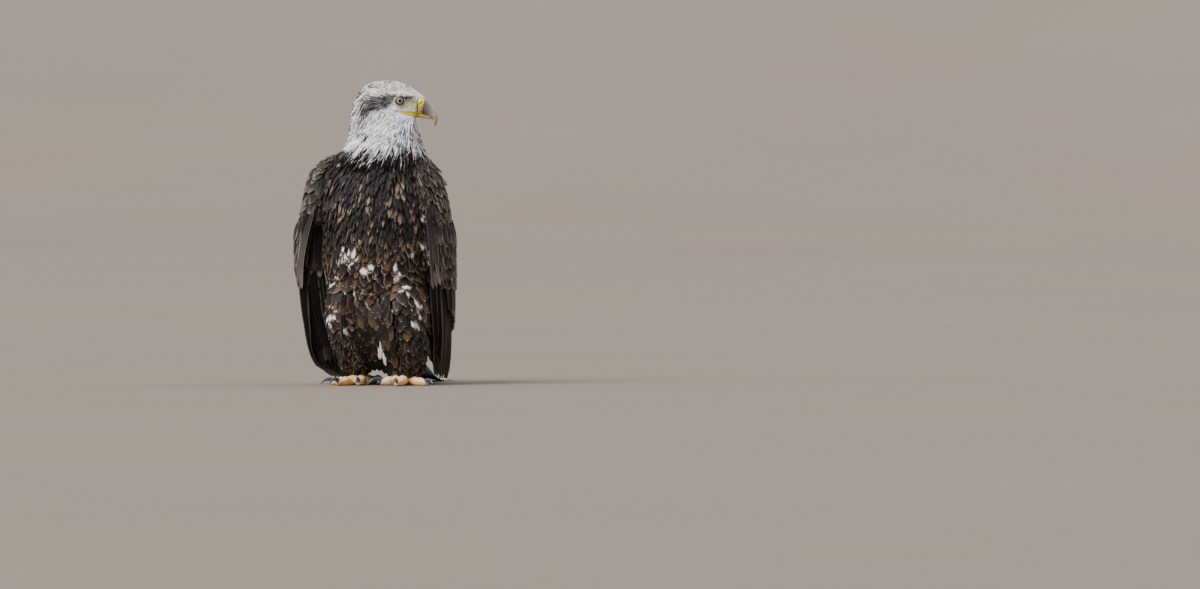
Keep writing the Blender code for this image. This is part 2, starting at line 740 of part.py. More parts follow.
def main():
    for obj in list(bpy.data.objects):
        bpy.data.objects.remove(obj)
    trunk, body = make_body()
    make_head()
    make_tail(trunk)
    for side in ("left", "right"):
        thigh = make_thigh(side, trunk)
        make_wing(side, body)
        make_foot(side, thigh)
    bpy.data.objects.remove(body)
    settle()


main()
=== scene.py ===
# %% [markdown]
# # A life-size bald eagle, feather by feather
# The measured solids already give this young bald eagle its stance and its true outline. This
# script gives it its looks: one skin under the feathers, a coat of vanes that overlap like
# shingles, long wing and tail feathers laid one by one, and a finished head and feet. A
# sculptor could carve all of this by hand. Here every feather is placed by a rule, so a change
# of one number and a new run make a whole new coat.

import heapq
import json
import math

import bmesh
import bpy
import numpy as np
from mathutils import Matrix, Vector
from mathutils.bvhtree import BVHTree

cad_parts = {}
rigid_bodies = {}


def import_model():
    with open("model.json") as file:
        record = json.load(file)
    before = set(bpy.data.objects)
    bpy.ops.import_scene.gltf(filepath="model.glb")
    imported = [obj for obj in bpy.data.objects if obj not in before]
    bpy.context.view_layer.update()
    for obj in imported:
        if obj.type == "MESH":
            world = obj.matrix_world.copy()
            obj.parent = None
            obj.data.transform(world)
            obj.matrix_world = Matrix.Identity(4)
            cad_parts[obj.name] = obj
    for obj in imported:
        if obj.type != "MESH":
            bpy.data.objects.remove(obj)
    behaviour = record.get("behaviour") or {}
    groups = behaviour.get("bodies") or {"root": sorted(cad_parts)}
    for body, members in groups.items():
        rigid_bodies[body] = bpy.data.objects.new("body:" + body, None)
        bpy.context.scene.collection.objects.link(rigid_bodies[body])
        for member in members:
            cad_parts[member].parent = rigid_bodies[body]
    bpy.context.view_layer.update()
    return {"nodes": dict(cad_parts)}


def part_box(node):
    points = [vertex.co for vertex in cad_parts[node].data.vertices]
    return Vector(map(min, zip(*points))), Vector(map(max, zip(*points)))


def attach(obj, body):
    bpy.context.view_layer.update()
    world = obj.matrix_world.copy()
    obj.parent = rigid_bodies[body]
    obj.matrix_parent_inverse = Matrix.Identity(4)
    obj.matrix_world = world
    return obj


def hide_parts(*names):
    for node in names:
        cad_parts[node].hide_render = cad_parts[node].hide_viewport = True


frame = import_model()

# %% [markdown]
# ## Arithmetic that becomes nodes
# Shader and geometry trees are sums on values that vary from place to place. One small class
# stands for such a value. Adding, multiplying or mixing two of them adds the node that does
# it, which reads like the sum itself and is quicker to change than a page of links.


# %% Values that flow through node trees
class Flow:
    """A value in a node tree; arithmetic on it adds Math or Vector Math nodes."""

    def __init__(self, tree, socket=None):
        self.tree, self.socket = tree, socket

    def node(self, kind, settings=None, inputs=None, output=0):
        made = self.tree.nodes.new(kind)
        for name, value in (settings or {}).items():
            if name == "stops":
                ramp = made.color_ramp
                while len(ramp.elements) < len(value):
                    ramp.elements.new(0.5)
                for element, (place, colour) in zip(ramp.elements, value):
                    element.position = place
                    element.color = (*colour, 1)
            else:
                setattr(made, name, value)
        for key, value in (inputs or {}).items():
            if isinstance(value, Flow):
                self.tree.links.new(value.socket, made.inputs[key])
            else:
                made.inputs[key].default_value = value
        return Flow(self.tree, made.outputs[output] if len(made.outputs) else None)

    def other(self, output):
        return Flow(self.tree, self.socket.node.outputs[output])

    def maths(self, operation, first, second=0.0):
        if "VECTOR" in {v.socket.type for v in (first, second) if isinstance(v, Flow)}:
            pair = [v if isinstance(v, Flow) else (v, v, v) for v in (first, second)]
            return self.node("ShaderNodeVectorMath", {"operation": operation}, dict(enumerate(pair)))
        return self.node("ShaderNodeMath", {"operation": operation}, {0: first, 1: second})

    def __add__(self, other):
        return self.maths("ADD", self, other)

    __radd__ = __add__

    def __mul__(self, other):
        return self.maths("MULTIPLY", self, other)

    __rmul__ = __mul__

    def __sub__(self, other):
        return self.maths("SUBTRACT", self, other)

    def __rsub__(self, other):
        return self.maths("SUBTRACT", other, self)

    def __truediv__(self, other):
        return self.maths("DIVIDE", self, other)

    def __rtruediv__(self, other):
        return self.maths("DIVIDE", other, self)

    def vector(self):
        return self.node("ShaderNodeCombineXYZ", None, {0: self, 1: self, 2: self})

    def step(self, low, high):
        """0 below low and 1 above high, with a smooth rise between them."""
        return self.node("ShaderNodeMapRange", {"interpolation_type": "SMOOTHSTEP"},
                         {"Value": self, "From Min": low, "From Max": high})

    def mix(self, colour, share):
        """This colour, with a share of another one."""
        share = {0: share}
        ends = {6: self, 7: colour if isinstance(colour, Flow) else (*colour, 1)}
        return self.node("ShaderNodeMix", {"data_type": "RGBA"}, {**share, **ends}, 2)

    def parts(self):
        split = self.node("ShaderNodeSeparateXYZ", None, {0: self})
        return split, split.other(1), split.other(2)


# %% [markdown]
# ## Where things are
# The body's upright axis, the eyes and the way the bill points are read from the solids. The
# head looks over the bird's left shoulder, so the head has its own forward and side.

# %% Read the main places from the solids
UP = np.array((0.0, 0.0, 1.0))


def middle(node):
    low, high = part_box(node)
    return np.array((low + high) / 2)


def side_sign(side):
    return 1 if side == "left" else -1


def unit(rows, least=1e-9):
    """Each row of numbers as a direction of length 1."""
    return rows / (np.linalg.norm(rows, axis=1, keepdims=True) + least)


eye_line = middle("eye_left") - middle("eye_right")
brow_centre = (middle("eye_left") + middle("eye_right")) / 2
head_side = eye_line / np.linalg.norm(eye_line)
head_forward = np.cross(head_side, UP)
head_forward *= np.sign(head_forward @ (middle("bill_upper") - brow_centre))
eye_low, eye_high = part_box("eye_left")
eye_radius = (eye_high.z - eye_low.z) / 2
axis = middle("trunk")
neck_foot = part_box("neck")[0].z
print("head looks along", head_forward.round(3), "eye radius", round(eye_radius, 4))

# %% [markdown]
# ## Floor, light and camera
# A museum would show the bird in a pale bowl: a flat floor that sweeps up all round, so
# that no edge or horizon shows from any side. A broad soft sun from the upper left, a weak one
# from behind on the right and a pale sky give shadows that are soft enough to show dark
# feathers. The camera stands far off with a long lens, fourteen degrees round to the bird's
# left.

# %% Build the studio
BOWL_TONE = (0.166, 0.139, 0.116)
BOWL_FLAT, BOWL_SWEEP, BOWL_RISE = 23.0, 14.0, 10.0
VIEW_TURN = math.radians(14.0)
VIEW_RISE = math.radians(1.0)
VIEW_DISTANCE = 20.0
VIEW_WIDTH = 2.28
VIEW_OFFSET = 0.4218
VIEW_HEIGHT = 0.172
FILM_WIDTH = 36.0
LAMPS = (("key", (-0.45, -0.75, 0.95), 34.0, 5.8), ("rim", (0.7, 0.5, 0.9), 30.0, 0.7))
VIEW_RIGHT = np.array((math.cos(VIEW_TURN), math.sin(VIEW_TURN), 0.0))
VIEW_AWAY = np.array((-math.sin(VIEW_TURN), math.cos(VIEW_TURN), 0.0))
stand_axis = np.array((axis[0], middle("neck")[1] - 0.006, 0.0))


def object_of(name, mesh):
    piece = bpy.data.objects.new(name, mesh)
    bpy.context.scene.collection.objects.link(piece)
    return piece


def mesh_of(name, points, faces, smooth=True):
    mesh = bpy.data.meshes.new(name)
    mesh.from_pydata([tuple(p) for p in points], [], [tuple(f) for f in faces])
    mesh.polygons.foreach_set("use_smooth", [smooth] * len(mesh.polygons))
    mesh.update()
    return mesh


def material_tree(name):
    material = bpy.data.materials.new(name)
    material.use_nodes = True
    shader = material.node_tree.nodes["Principled BSDF"]
    return material, Flow(material.node_tree), shader


def feed(shader, socket, value):
    if isinstance(value, Flow):
        value.tree.links.new(value.socket, shader.inputs[socket])
    else:
        shader.inputs[socket].default_value = value


def noise(tree, scale, detail):
    """Cloudy noise that is fixed to the piece, because it reads the piece's own coordinates."""
    place = tree.node("ShaderNodeTexCoord", output=3)
    return tree.node("ShaderNodeTexNoise", None, {"Vector": place, "Scale": scale, "Detail": detail})


def stored_value(tree, name, output="Fac"):
    """A value that the mesh holds under this name."""
    return tree.node("ShaderNodeAttribute", {"attribute_name": name}, output=output)


def feed_relief(shader, height, strength, distance):
    settings = {"Strength": strength, "Distance": distance, "Height": height}
    feed(shader, "Normal", height.node("ShaderNodeBump", None, settings))


def grid_faces(rows, columns, start=0):
    """Quads between rows of points; each row closes on itself."""
    return [(start + r * columns + c, start + r * columns + (c + 1) % columns,
             start + (r + 1) * columns + (c + 1) % columns, start + (r + 1) * columns + c)
            for r in range(rows - 1) for c in range(columns)]


def tube_faces(rows, columns):
    """The same with both ends closed."""
    ends = [tuple(range(columns)), tuple(range((rows - 1) * columns, rows * columns))]
    return grid_faces(rows, columns) + ends


def shade_smooth(piece):
    piece.data.polygons.foreach_set("use_smooth", [True] * len(piece.data.polygons))


def write_layer(mesh, name, values):
    """Stores a number or a vector for each point of a mesh."""
    values = np.asarray(values, np.float32)
    kind, field = ("FLOAT_VECTOR", "vector") if values.ndim > 1 else ("FLOAT", "value")
    mesh.attributes.new(name, kind, "POINT").data.foreach_set(field, values.ravel())


def turn_outwards(mesh):
    shape = bmesh.new()
    shape.from_mesh(mesh)
    bmesh.ops.recalc_face_normals(shape, faces=shape.faces)
    shape.to_mesh(mesh)


def count_triangles(piece):
    piece.data.calc_loop_triangles()
    return len(piece.data.loop_triangles)


def build_bowl():
    rings, spokes = 18, 72
    reach = [(BOWL_FLAT * share, 0.0) for share in (0.02, 0.3, 1.0)]
    for step in range(1, rings + 1):
        turn = step / rings * math.pi / 2
        reach.append((BOWL_FLAT + BOWL_SWEEP * math.sin(turn), BOWL_RISE * (1 - math.cos(turn))))
    points = [(radius * math.cos(math.tau * s / spokes), radius * math.sin(math.tau * s / spokes), rise)
              for radius, rise in reach for s in range(spokes)]
    faces = [face[::-1] for face in grid_faces(len(reach), spokes)] + [tuple(range(spokes))]
    bowl = object_of("floor", mesh_of("floor", points, faces))
    material, tree, shader = material_tree("floor")
    feed(shader, "Base Color", noise(tree, 0.5, 2.0).other(1).mix(BOWL_TONE, 0.97))
    feed(shader, "Roughness", 0.9)
    feed(shader, "Specular IOR Level", 0.1)
    bowl.data.materials.append(material)


def build_light():
    world = bpy.data.worlds.new("studio")
    world.use_nodes = True
    world.node_tree.nodes["Background"].inputs["Color"].default_value = (0.93, 0.965, 1.0, 1)
    world.node_tree.nodes["Background"].inputs["Strength"].default_value = 1.0
    bpy.context.scene.world = world
    for name, source, spread, power in LAMPS:
        lamp = bpy.data.objects.new(name, bpy.data.lights.new(name, "SUN"))
        lamp.data.angle = math.radians(spread)
        lamp.data.energy = power
        lamp.location = Vector(source) * 4
        lamp.rotation_euler = Vector(source).to_track_quat("Z", "Y").to_euler()
        bpy.context.scene.collection.objects.link(lamp)


def build_camera():
    camera = bpy.data.objects.new("camera", bpy.data.cameras.new("camera"))
    bpy.context.scene.collection.objects.link(camera)
    camera.data.sensor_width = FILM_WIDTH
    camera.data.lens = FILM_WIDTH * VIEW_DISTANCE / VIEW_WIDTH
    camera.data.clip_end = 100.0
    target = Vector(stand_axis + VIEW_RIGHT * VIEW_OFFSET + UP * VIEW_HEIGHT)
    back = Vector(-VIEW_AWAY * math.cos(VIEW_RISE) + UP * math.sin(VIEW_RISE))
    camera.location = target + back * VIEW_DISTANCE
    camera.rotation_euler = (-back).to_track_quat("-Z", "Y").to_euler()
    bpy.context.scene.camera = camera
    print("camera at", [round(v, 2) for v in camera.location], "aims at", [round(v, 3) for v in target])


build_bowl()
build_light()
build_camera()

# %% [markdown]
# ## One skin under the feathers
# The head, neck, trunk, thighs, wings and rump are one living skin, so their solids are fused
# into one closed surface with a voxel remesh, which leaves no seam. The copies are first grown
# a little, so that the thin gaps between them close, and the result is then drawn inwards by
# the same amount and by the depth of the coat, because the feathers add that depth again.

# %% Sew, fuse and shrink
SEW = 1e-6
GROW = 0.004
SKIN_VOXEL = 0.0036
FLESH = ("head", "neck", "trunk", "thigh_left", "thigh_right",
         "wing_left_coverts", "wing_right_coverts", "tail_coverts")
COAT_DEPTHS = (0.0022, 0.0060, 0.0075, 0.0065, 0.0065, 0.0045, 0.0045, 0.0060)
FLESH_BLEND = 0.004


def merged(*nodes):
    """A bmesh copy of solids, with the loose triangles of each sewn together."""
    shape = bmesh.new()
    for node in nodes:
        shape.from_mesh(frame["nodes"][node].data)
    bmesh.ops.remove_doubles(shape, verts=shape.verts, dist=SEW)
    shape.normal_update()
    return shape


def baked(piece):
    """Turns a piece with modifiers into a plain mesh."""
    view = bpy.context.evaluated_depsgraph_get()
    mesh = bpy.data.meshes.new_from_object(piece.evaluated_get(view), depsgraph=view)
    piece.modifiers.clear()
    old, piece.data = piece.data, mesh
    bpy.data.meshes.remove(old)
    return piece


def largest_shell(shape):
    """Deletes all but the biggest connected part of a bmesh."""
    left, best = set(shape.verts), set()
    while left:
        seed = left.pop()
        shell, edge = {seed}, [seed]
        while edge:
            near = {e.other_vert(v) for v in edge for e in v.link_edges} - shell
            shell |= near
            edge = list(near)
        left -= shell
        best = max(best, shell, key=len)
    bmesh.ops.delete(shape, geom=[v for v in shape.verts if v not in best], context="VERTS")


def fused(name, nodes, grow, voxel):
    """One closed surface round all the solids named, grown outwards by grow."""
    shape = merged(*nodes)
    for vert in shape.verts:
        vert.co += vert.normal * grow
    mesh = bpy.data.meshes.new(name)
    shape.to_mesh(mesh)
    piece = object_of(name, mesh)
    remesh = piece.modifiers.new("fuse", "REMESH")
    remesh.mode = "VOXEL"
    remesh.voxel_size = voxel
    baked(piece)
    shape = bmesh.new()
    shape.from_mesh(piece.data)
    largest_shell(shape)
    shape.to_mesh(piece.data)
    return piece


class Surface:
    """The points, faces and edges of a mesh as arrays, for sculpting in code."""

    def __init__(self, piece):
        self.piece, mesh = piece, piece.data
        self.points = np.array([v.co for v in mesh.vertices])
        self.edges = np.array([e.vertices for e in mesh.edges])
        self.count = np.bincount(self.edges.ravel(), minlength=len(self.points))[:, None]
        mesh.calc_loop_triangles()
        self.triangles = np.array([t.vertices for t in mesh.loop_triangles])

    def scatter(self, index, values):
        return np.stack([np.bincount(index, v, len(self.points)) for v in values.T], axis=1)

    def averaged(self, values, rounds, strength=1.0):
        a, b = self.edges.T
        flat = values.ndim == 1
        values = values[:, None] if flat else values
        for _ in range(rounds):
            near = (self.scatter(a, values[b]) + self.scatter(b, values[a])) / self.count
            values = values + (near - values) * strength
        return values[:, 0] if flat else values

    def normals(self):
        a, b, c = (self.points[self.triangles[:, i]] for i in range(3))
        facing = np.cross(b - a, c - a)
        return unit(sum(self.scatter(self.triangles[:, i], facing) for i in range(3)), 1e-12)

    def smooth(self, rounds, strength=0.5):
        self.points = self.averaged(self.points, rounds, strength)

    def outward(self, rounds=3):
        return unit(self.averaged(self.normals(), rounds))

    def move_in(self, depth, steps=8):
        for _ in range(steps):
            self.points = self.points - self.outward() * (depth / steps)[:, None]
            self.smooth(2, 0.4)

    def store(self, **values):
        mesh = self.piece.data
        mesh.vertices.foreach_set("co", self.points.astype(np.float32).ravel())
        for name, value in values.items():
            write_layer(mesh, name, value)
        mesh.update()


def closeness(points, nodes, soften):
    """How far each point belongs to each solid, from 0 to 1."""
    gaps = []
    for node in nodes:
        near = BVHTree.FromBMesh(merged(node))
        gaps.append([near.find_nearest(p)[3] for p in points.tolist()])
    share = np.exp(-np.array(gaps).T / soften)
    return share / share.sum(axis=1, keepdims=True)


def ramp(value, low, high):
    part = np.clip((value - low) / (high - low), 0, 1)
    return part * part * (3 - 2 * part)


skin = fused("skin", FLESH, GROW, SKIN_VOXEL)
body = Surface(skin)
body.smooth(3)
share = closeness(body.points, FLESH, FLESH_BLEND)
body.move_in(GROW + body.averaged(share @ COAT_DEPTHS, 8))
body.store()
shape = bmesh.new()
shape.from_mesh(skin.data)
head_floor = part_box("head")[0].z
fine = [e for e in shape.edges if min(v.co.z for v in e.verts) > head_floor]
bmesh.ops.subdivide_edges(shape, edges=fine, cuts=1, use_grid_fill=True)
shape.to_mesh(skin.data)
body = Surface(skin)
body.smooth(2)
share = dict(zip(FLESH, closeness(body.points, FLESH, FLESH_BLEND).T))
wing, tail = share["wing_left_coverts"] + share["wing_right_coverts"], share["tail_coverts"]
print("skin:", len(body.points), "points,", len(body.triangles), "triangles")

# %% [markdown]
# ## Sculpt the brow and the eye sockets
# An eagle's stern look comes from a bony ridge that overhangs the front of the eye. The fused
# head is a plain egg, so the skin is pushed out along a line over each eye, and in round the
# eye, where the lids are set. Points on the head are measured from the middle between the
# eyes: forward, sideways and up. Each line below says where it starts and ends, its radius
# and how far it pushes the skin outwards, or inwards where the push is below zero.

# %% Shape the face
FACE_LINES = {"brow ridge": ((-0.010, 0.0130), (0.022, 0.0095), 0.0044, 0.0040),
              "eye socket": ((0.0, 0.0), (0.001, 0.0), 0.0100, -0.0022),
              "lore": ((0.017, -0.001), (0.034, -0.004), 0.0065, -0.0016),
              "jowl": ((-0.020, -0.024), (0.004, -0.030), 0.0110, 0.0012),
              "mouth": ((-0.003, -0.0210), (0.034, -0.0265), 0.0042, -0.0014)}
FOREHEAD_PUSH = 0.0014


def head_place(points):
    """Points as seen from between the eyes: forward, to the bird's left, and up."""
    away = points - brow_centre
    return away @ head_forward, away @ head_side, away[:, 2]


def bump_along(forward, up, start, end, radius):
    """1 on the line from start to end, seen from the side, falling to 0 beyond the radius."""
    line = np.array(end) - start
    part = np.clip(((forward - start[0]) * line[0] + (up - start[1]) * line[1]) / (line @ line), 0, 1)
    gap = np.hypot(forward - start[0] - part * line[0], up - start[1] - part * line[1])
    return np.exp(-(gap / radius) ** 2)


def shape_face():
    forward, side, up = head_place(body.points)
    flank = ramp(np.abs(side), 0.006, 0.014) * (body.points[:, 2] > head_floor)
    pushes = sum(bump_along(forward, up, *line) * depth for *line, depth in FACE_LINES.values())
    body.points = body.points + (pushes * flank * np.sign(side))[:, None] * head_side
    fore = ramp(forward, 0.028, 0.037) * ramp(up, 0.000, 0.010) * (body.points[:, 2] > head_floor)
    body.points = body.points + (fore * FOREHEAD_PUSH)[:, None] * body.outward(1)


shape_face()

# %% [markdown]
# ## Which way the feathers lie
# Feathers point away from the bill and never back towards it: over the crown, down the neck
# and along the body. So the lie is the direction in which walking distance from the bill
# grows. The distance is found with Dijkstra's method over the edges of the skin, and smoothed,
# which makes the coat flow round the thighs and over the shoulders by itself. Below the eyes
# the feathers also hang, so the lie is mixed with straight down there.

# %% Walk from the bill over the whole skin
LIE_ROUNDS = 14
WING_PULL = np.array((0.0, 0.30, -0.25))


def along_surface(flow, out):
    """Directions with the part that points out of the surface taken away."""
    return unit(flow - out * (flow * out).sum(axis=1)[:, None])


def walk_from(surface, start):
    """The shortest way along the edges from the start points to each point."""
    ends = np.linalg.norm(np.diff(surface.points[surface.edges], axis=1)[:, 0], axis=1)
    near = [[] for _ in surface.points]
    for (a, b), gap in zip(surface.edges.tolist(), ends.tolist()):
        near[a].append((b, gap))
        near[b].append((a, gap))
    way = np.full(len(surface.points), np.inf)
    way[start] = 0.0
    queue = [(0.0, int(i)) for i in start]
    while queue:
        so_far, here = heapq.heappop(queue)
        if so_far > way[here]:
            continue
        for there, gap in near[here]:
            if so_far + gap < way[there]:
                way[there] = so_far + gap
                heapq.heappush(queue, (way[there], there))
    return way


def downhill(surface, value, out):
    """The direction along the surface in which a value grows fastest."""
    a, b = surface.edges.T
    step = surface.points[b] - surface.points[a]
    pull = step * ((value[b] - value[a]) / (step ** 2).sum(axis=1))[:, None]
    flow = surface.scatter(a, pull) + surface.scatter(b, pull)
    for _ in range(LIE_ROUNDS):
        flow = surface.averaged(along_surface(flow, out), 1)
    return along_surface(flow, out)


out = body.outward()
bill_root = np.linalg.norm(body.points - middle("cere"), axis=1)
way = walk_from(body, np.flatnonzero(bill_root < bill_root.min() + 0.006))
way = body.averaged(way, 25)
lie = downhill(body, way, out)
ahead, _, over_eyes = head_place(body.points)
hang = ramp(over_eyes, 0.016, -0.040) * 0.62
hang = hang + 0.5 * ramp(body.points[:, 2], neck_foot + 0.02, neck_foot - 0.04)
hang = np.maximum(hang, ramp(ahead, -0.036, -0.068) * ramp(over_eyes, 0.038, 0.014))
hang = hang * (1 - wing) * (1 - tail)
lie = lie * (1 - 0.7 * hang)[:, None] - hang[:, None] * UP
lie = lie + wing[:, None] * WING_PULL
lie = along_surface(body.averaged(lie, 6), out)
print("longest way from the bill:", round(float(way.max()), 3), "m")

# %% [markdown]
# ## Markings that skin and coat share
# A young bald eagle on its way to adult dress has a whitish head with dark flecks and a dark
# patch behind the eye, a near-black chest with a few tan feathers, and a belly mottled with
# rust and clumps of white. Each marking is a value on the skin. Every feather takes the values
# at its own root, so the skin and the coat can't disagree. The odds make neighbours differ, as
# real ones do. The clumps and the tan feathers are listed in metres: how far to the right they
# are of the body's axis as one looks at the bird, their height and their size.


# %% Paint the skin with values
def tone(red, green, blue):
    """A colour as the eye names it, from 0 to 255, in the linear values that shaders use."""
    part = np.array((red, green, blue)) / 255
    return np.where(part <= 0.04045, part / 12.92, ((part + 0.055) / 1.055) ** 2.4)


WHITE = tone(253, 252, 252)
CREAM = tone(226, 198, 170)
# Painted shade: a slightly darker, bluish white for white feathers in shade under a pale sky.
SKY_SHADE_WHITE = tone(222, 233, 250)
FLECK = tone(38, 31, 29)
NEAR_BLACK = tone(16, 14, 16)
CHEST = tone(29, 25, 27)
UMBER = tone(34, 25, 22)
RUST = tone(92, 67, 53)
TAN = tone(130, 108, 94)
FRINGE = tone(188, 170, 152)
WING_BROWN = tone(44, 38, 36)
WING_MARGIN = tone(100, 90, 84)
LORE_SKIN = tone(204, 196, 138)
CROWN_TINT = tone(176, 160, 142)
EAR_GREY = tone(74, 68, 68)
WAVES = 14
WHITE_CLUMPS = (
    (-0.050, 0.272, 0.011), (-0.066, 0.276, 0.008), (-0.018, 0.246, 0.010), (-0.009, 0.251, 0.009),
    (-0.015, 0.202, 0.008), (0.062, 0.270, 0.008), (0.043, 0.238, 0.009), (0.053, 0.199, 0.010),
    (0.029, 0.169, 0.010), (-0.031, 0.188, 0.009), (-0.083, 0.165, 0.012), (-0.090, 0.146, 0.009),
    (0.069, 0.176, 0.010), (0.072, 0.146, 0.009), (-0.012, 0.132, 0.008), (-0.100, 0.243, 0.006),
    (-0.082, 0.222, 0.008), (0.022, 0.055, 0.014), (0.088, 0.342, 0.010), (0.088, 0.290, 0.005))
TAN_FEATHERS = (
    (-0.056, 0.358, 0.009), (-0.062, 0.372, 0.008), (-0.006, 0.322, 0.009), (0.040, 0.390, 0.008),
    (0.060, 0.372, 0.007), (-0.092, 0.388, 0.009), (-0.080, 0.402, 0.008), (0.034, 0.352, 0.006),
    (0.076, 0.404, 0.007), (-0.036, 0.296, 0.008), (0.058, 0.292, 0.009), (-0.010, 0.366, 0.005),
    (-0.030, 0.388, 0.005), (0.018, 0.330, 0.005), (0.070, 0.345, 0.007))


def spots(points, size, seed):
    """Smooth random values between about -1 and 1, of the given grain, without a texture."""
    chance = np.random.default_rng(seed)
    total = np.zeros(len(points))
    for _ in range(WAVES):
        wave = chance.normal(size=3)
        wave *= math.tau / (size * np.linalg.norm(wave) * chance.uniform(0.7, 1.6))
        total += np.sin(points @ wave + chance.uniform(0, math.tau))
    return total / WAVES ** 0.5


def blend_to(colours, target, amount):
    return colours + (target - colours) * np.clip(amount, 0, 1)[:, None]


def patches(points, facing, places, tall, soften=0.35):
    """1 inside each listed patch on the side that one sees, and 0 outside."""
    across, total = (points - stand_axis) @ VIEW_RIGHT, np.zeros(len(points))
    for side_place, height, size in places:
        gap = np.hypot(across - side_place, (points[:, 2] - height) / tall) / size
        total = np.maximum(total, 1 - ramp(gap, 1 - soften, 1 + soften))
    return total * ramp(-facing @ VIEW_AWAY, -0.1, 0.2)


def body_values(points, share, facing):
    """Colours and odds of the body, the wings and the tail coverts at each point."""
    height = points[:, 2]
    front = ramp(-facing[:, 1], -0.3, 0.3)
    wing = share["wing_left_coverts"] + share["wing_right_coverts"]
    tail, thigh = share["tail_coverts"], share["thigh_left"] + share["thigh_right"]
    belly = ramp(height, 0.318, 0.270) * front * (1 - wing) * (1 - tail)
    low = ramp(height, 0.175, 0.115) * (1 - tail)
    white_clump = patches(points, facing, WHITE_CLUMPS, 1.3) * 0.92
    tan_feather = patches(points, facing, TAN_FEATHERS, 2.3) * (1 - wing)
    main = np.tile(CHEST, (len(points), 1))
    main = blend_to(main, NEAR_BLACK,
                    0.8 * ramp(spots(points, 0.060, 4), -0.3, 0.7) + ramp(height, 0.38, 0.44))
    main = blend_to(main, UMBER, belly * ramp(spots(points, 0.045, 6), -0.6, 0.8))
    main = blend_to(main, WING_BROWN, wing)
    main = blend_to(main, CREAM, tail * 0.8)
    other = blend_to(np.tile(TAN, (len(points), 1)), RUST, np.maximum(belly, thigh) * (1 - tan_feather))
    other = blend_to(other, WING_MARGIN, wing)
    other = blend_to(other, UMBER, tail)
    brown = ramp(spots(points, 0.055, 5), -0.5, 0.9)
    second = 0.03 + 0.04 * ramp(height, 0.30, 0.36) + (0.10 + 0.42 * brown) * belly * (1 - 0.80 * low)
    second = np.maximum(second, tan_feather * 0.75) * (1 - wing) + 0.16 * wing + 0.30 * tail
    second = np.maximum(second, 0.45 * ramp(white_clump, 0.0, 0.5) * (1 - white_clump))
    base = 0.06 * belly * (1 - low) + white_clump
    edge = 0.05 + (0.40 + 0.35 * brown) * belly * (1 - 0.50 * low) + 0.08 * thigh
    edge = edge * (1 - wing) + wing
    dark_shaft = 0.15 + 0.35 * wing + 0.5 * tan_feather
    pale_shaft = 0.4 * ramp(height, 0.27, 0.33) * front * (1 - wing)
    lines = np.stack([dark_shaft, pale_shaft, np.zeros_like(wing)], axis=1)
    return main, other, np.stack([second, base, edge], axis=1), lines


def head_values(points, main, other, odds, lines):
    """The same for the head and neck, laid over the body's values above a ragged collar."""
    forward, side, up = head_place(points)
    height = points[:, 2]
    bearing = np.arctan2(points[:, 0] - axis[0], -(points[:, 1] - axis[1]))
    front = np.cos(bearing)
    collar = neck_foot + 0.031 - 0.010 * ramp(front, 0.3, 1.0) + 0.009 * spots(points, 0.011, 3)
    white = ramp(height, collar - 0.002, collar + 0.002)
    crown = ramp(up, 0.010, 0.026) * white
    nape = ramp(forward, -0.035, -0.070) * white
    throat = ramp(up, -0.022, -0.050) * ramp(forward, 0.0, 0.035) * white
    blotch = ramp(spots(points, 0.011, 8), -0.9, 0.3)
    patch = bump_along(forward, up, (-0.060, -0.011), (-0.017, -0.001), 0.0115)
    patch = np.maximum(patch, bump_along(forward, up, (-0.017, 0.000), (-0.011, 0.004), 0.0050)) * white
    # The band along the brow gets dark flecks: partly the brow's dark bristles, partly painted shade under
    # the overhanging ridge.
    brow = bump_along(forward, up, (-0.014, 0.0092), (0.031, 0.0050), 0.0030)
    brow = brow * (np.abs(side) > 0.012) * white
    main = blend_to(main, WHITE, white)
    # Painted shade: the white on the sides and back of the lower head and neck is tinted with the bluish
    # white of shade under the sky.
    main = blend_to(main, SKY_SHADE_WHITE, 0.8 * ramp(front, 0.9, 0.1) * white * ramp(up, 0.0, -0.04))
    main = blend_to(main, CREAM, 0.8 * throat * ramp(spots(points, 0.020, 12), -0.6, 0.9))
    main = blend_to(main, CROWN_TINT, crown * 0.55 * ramp(spots(points, 0.012, 9), -0.3, 1.0))
    main = blend_to(main, EAR_GREY, ramp(patch, 0.25, 0.8) * 0.8)
    other = blend_to(other, FLECK, white)
    on_crown = (0.42 + 0.40 * ramp(forward, -0.01, 0.03)) * crown
    flecks = 0.045 + on_crown * ramp(spots(points, 0.0075, 10), -0.1, 0.6) + 0.26 * nape + 0.12 * throat
    flecks = np.maximum(flecks, 0.95 * ramp(patch, 0.22, 0.62) * blotch + 1.2 * ramp(brow, 0.3, 0.8))
    second = odds[:, 0] * (1 - white) + flecks * white
    lore = bump_along(forward, up, (0.0145, -0.004), (0.034, -0.008), 0.0085)
    lore = ramp(lore, 0.25, 0.7) * ramp(np.abs(side), 0.004, 0.010) * (height > head_floor)
    main = blend_to(main, LORE_SKIN, lore * (0.45 + 0.55 * ramp(forward, 0.014, 0.030)))
    odds = np.stack([second, odds[:, 1] * (1 - white), odds[:, 2] * (1 - white)], axis=1)
    streak = 0.60 * (1 - patch) * (1 - 0.8 * crown)
    streaks = np.stack([0.10 + 0.30 * crown + 0.45 * nape, np.zeros_like(white), streak], axis=1)
    lines = lines * (1 - white)[:, None] + streaks * white[:, None]
    return main, other, odds, lines


main, other, odds, lines = head_values(body.points, *body_values(body.points, share, out))
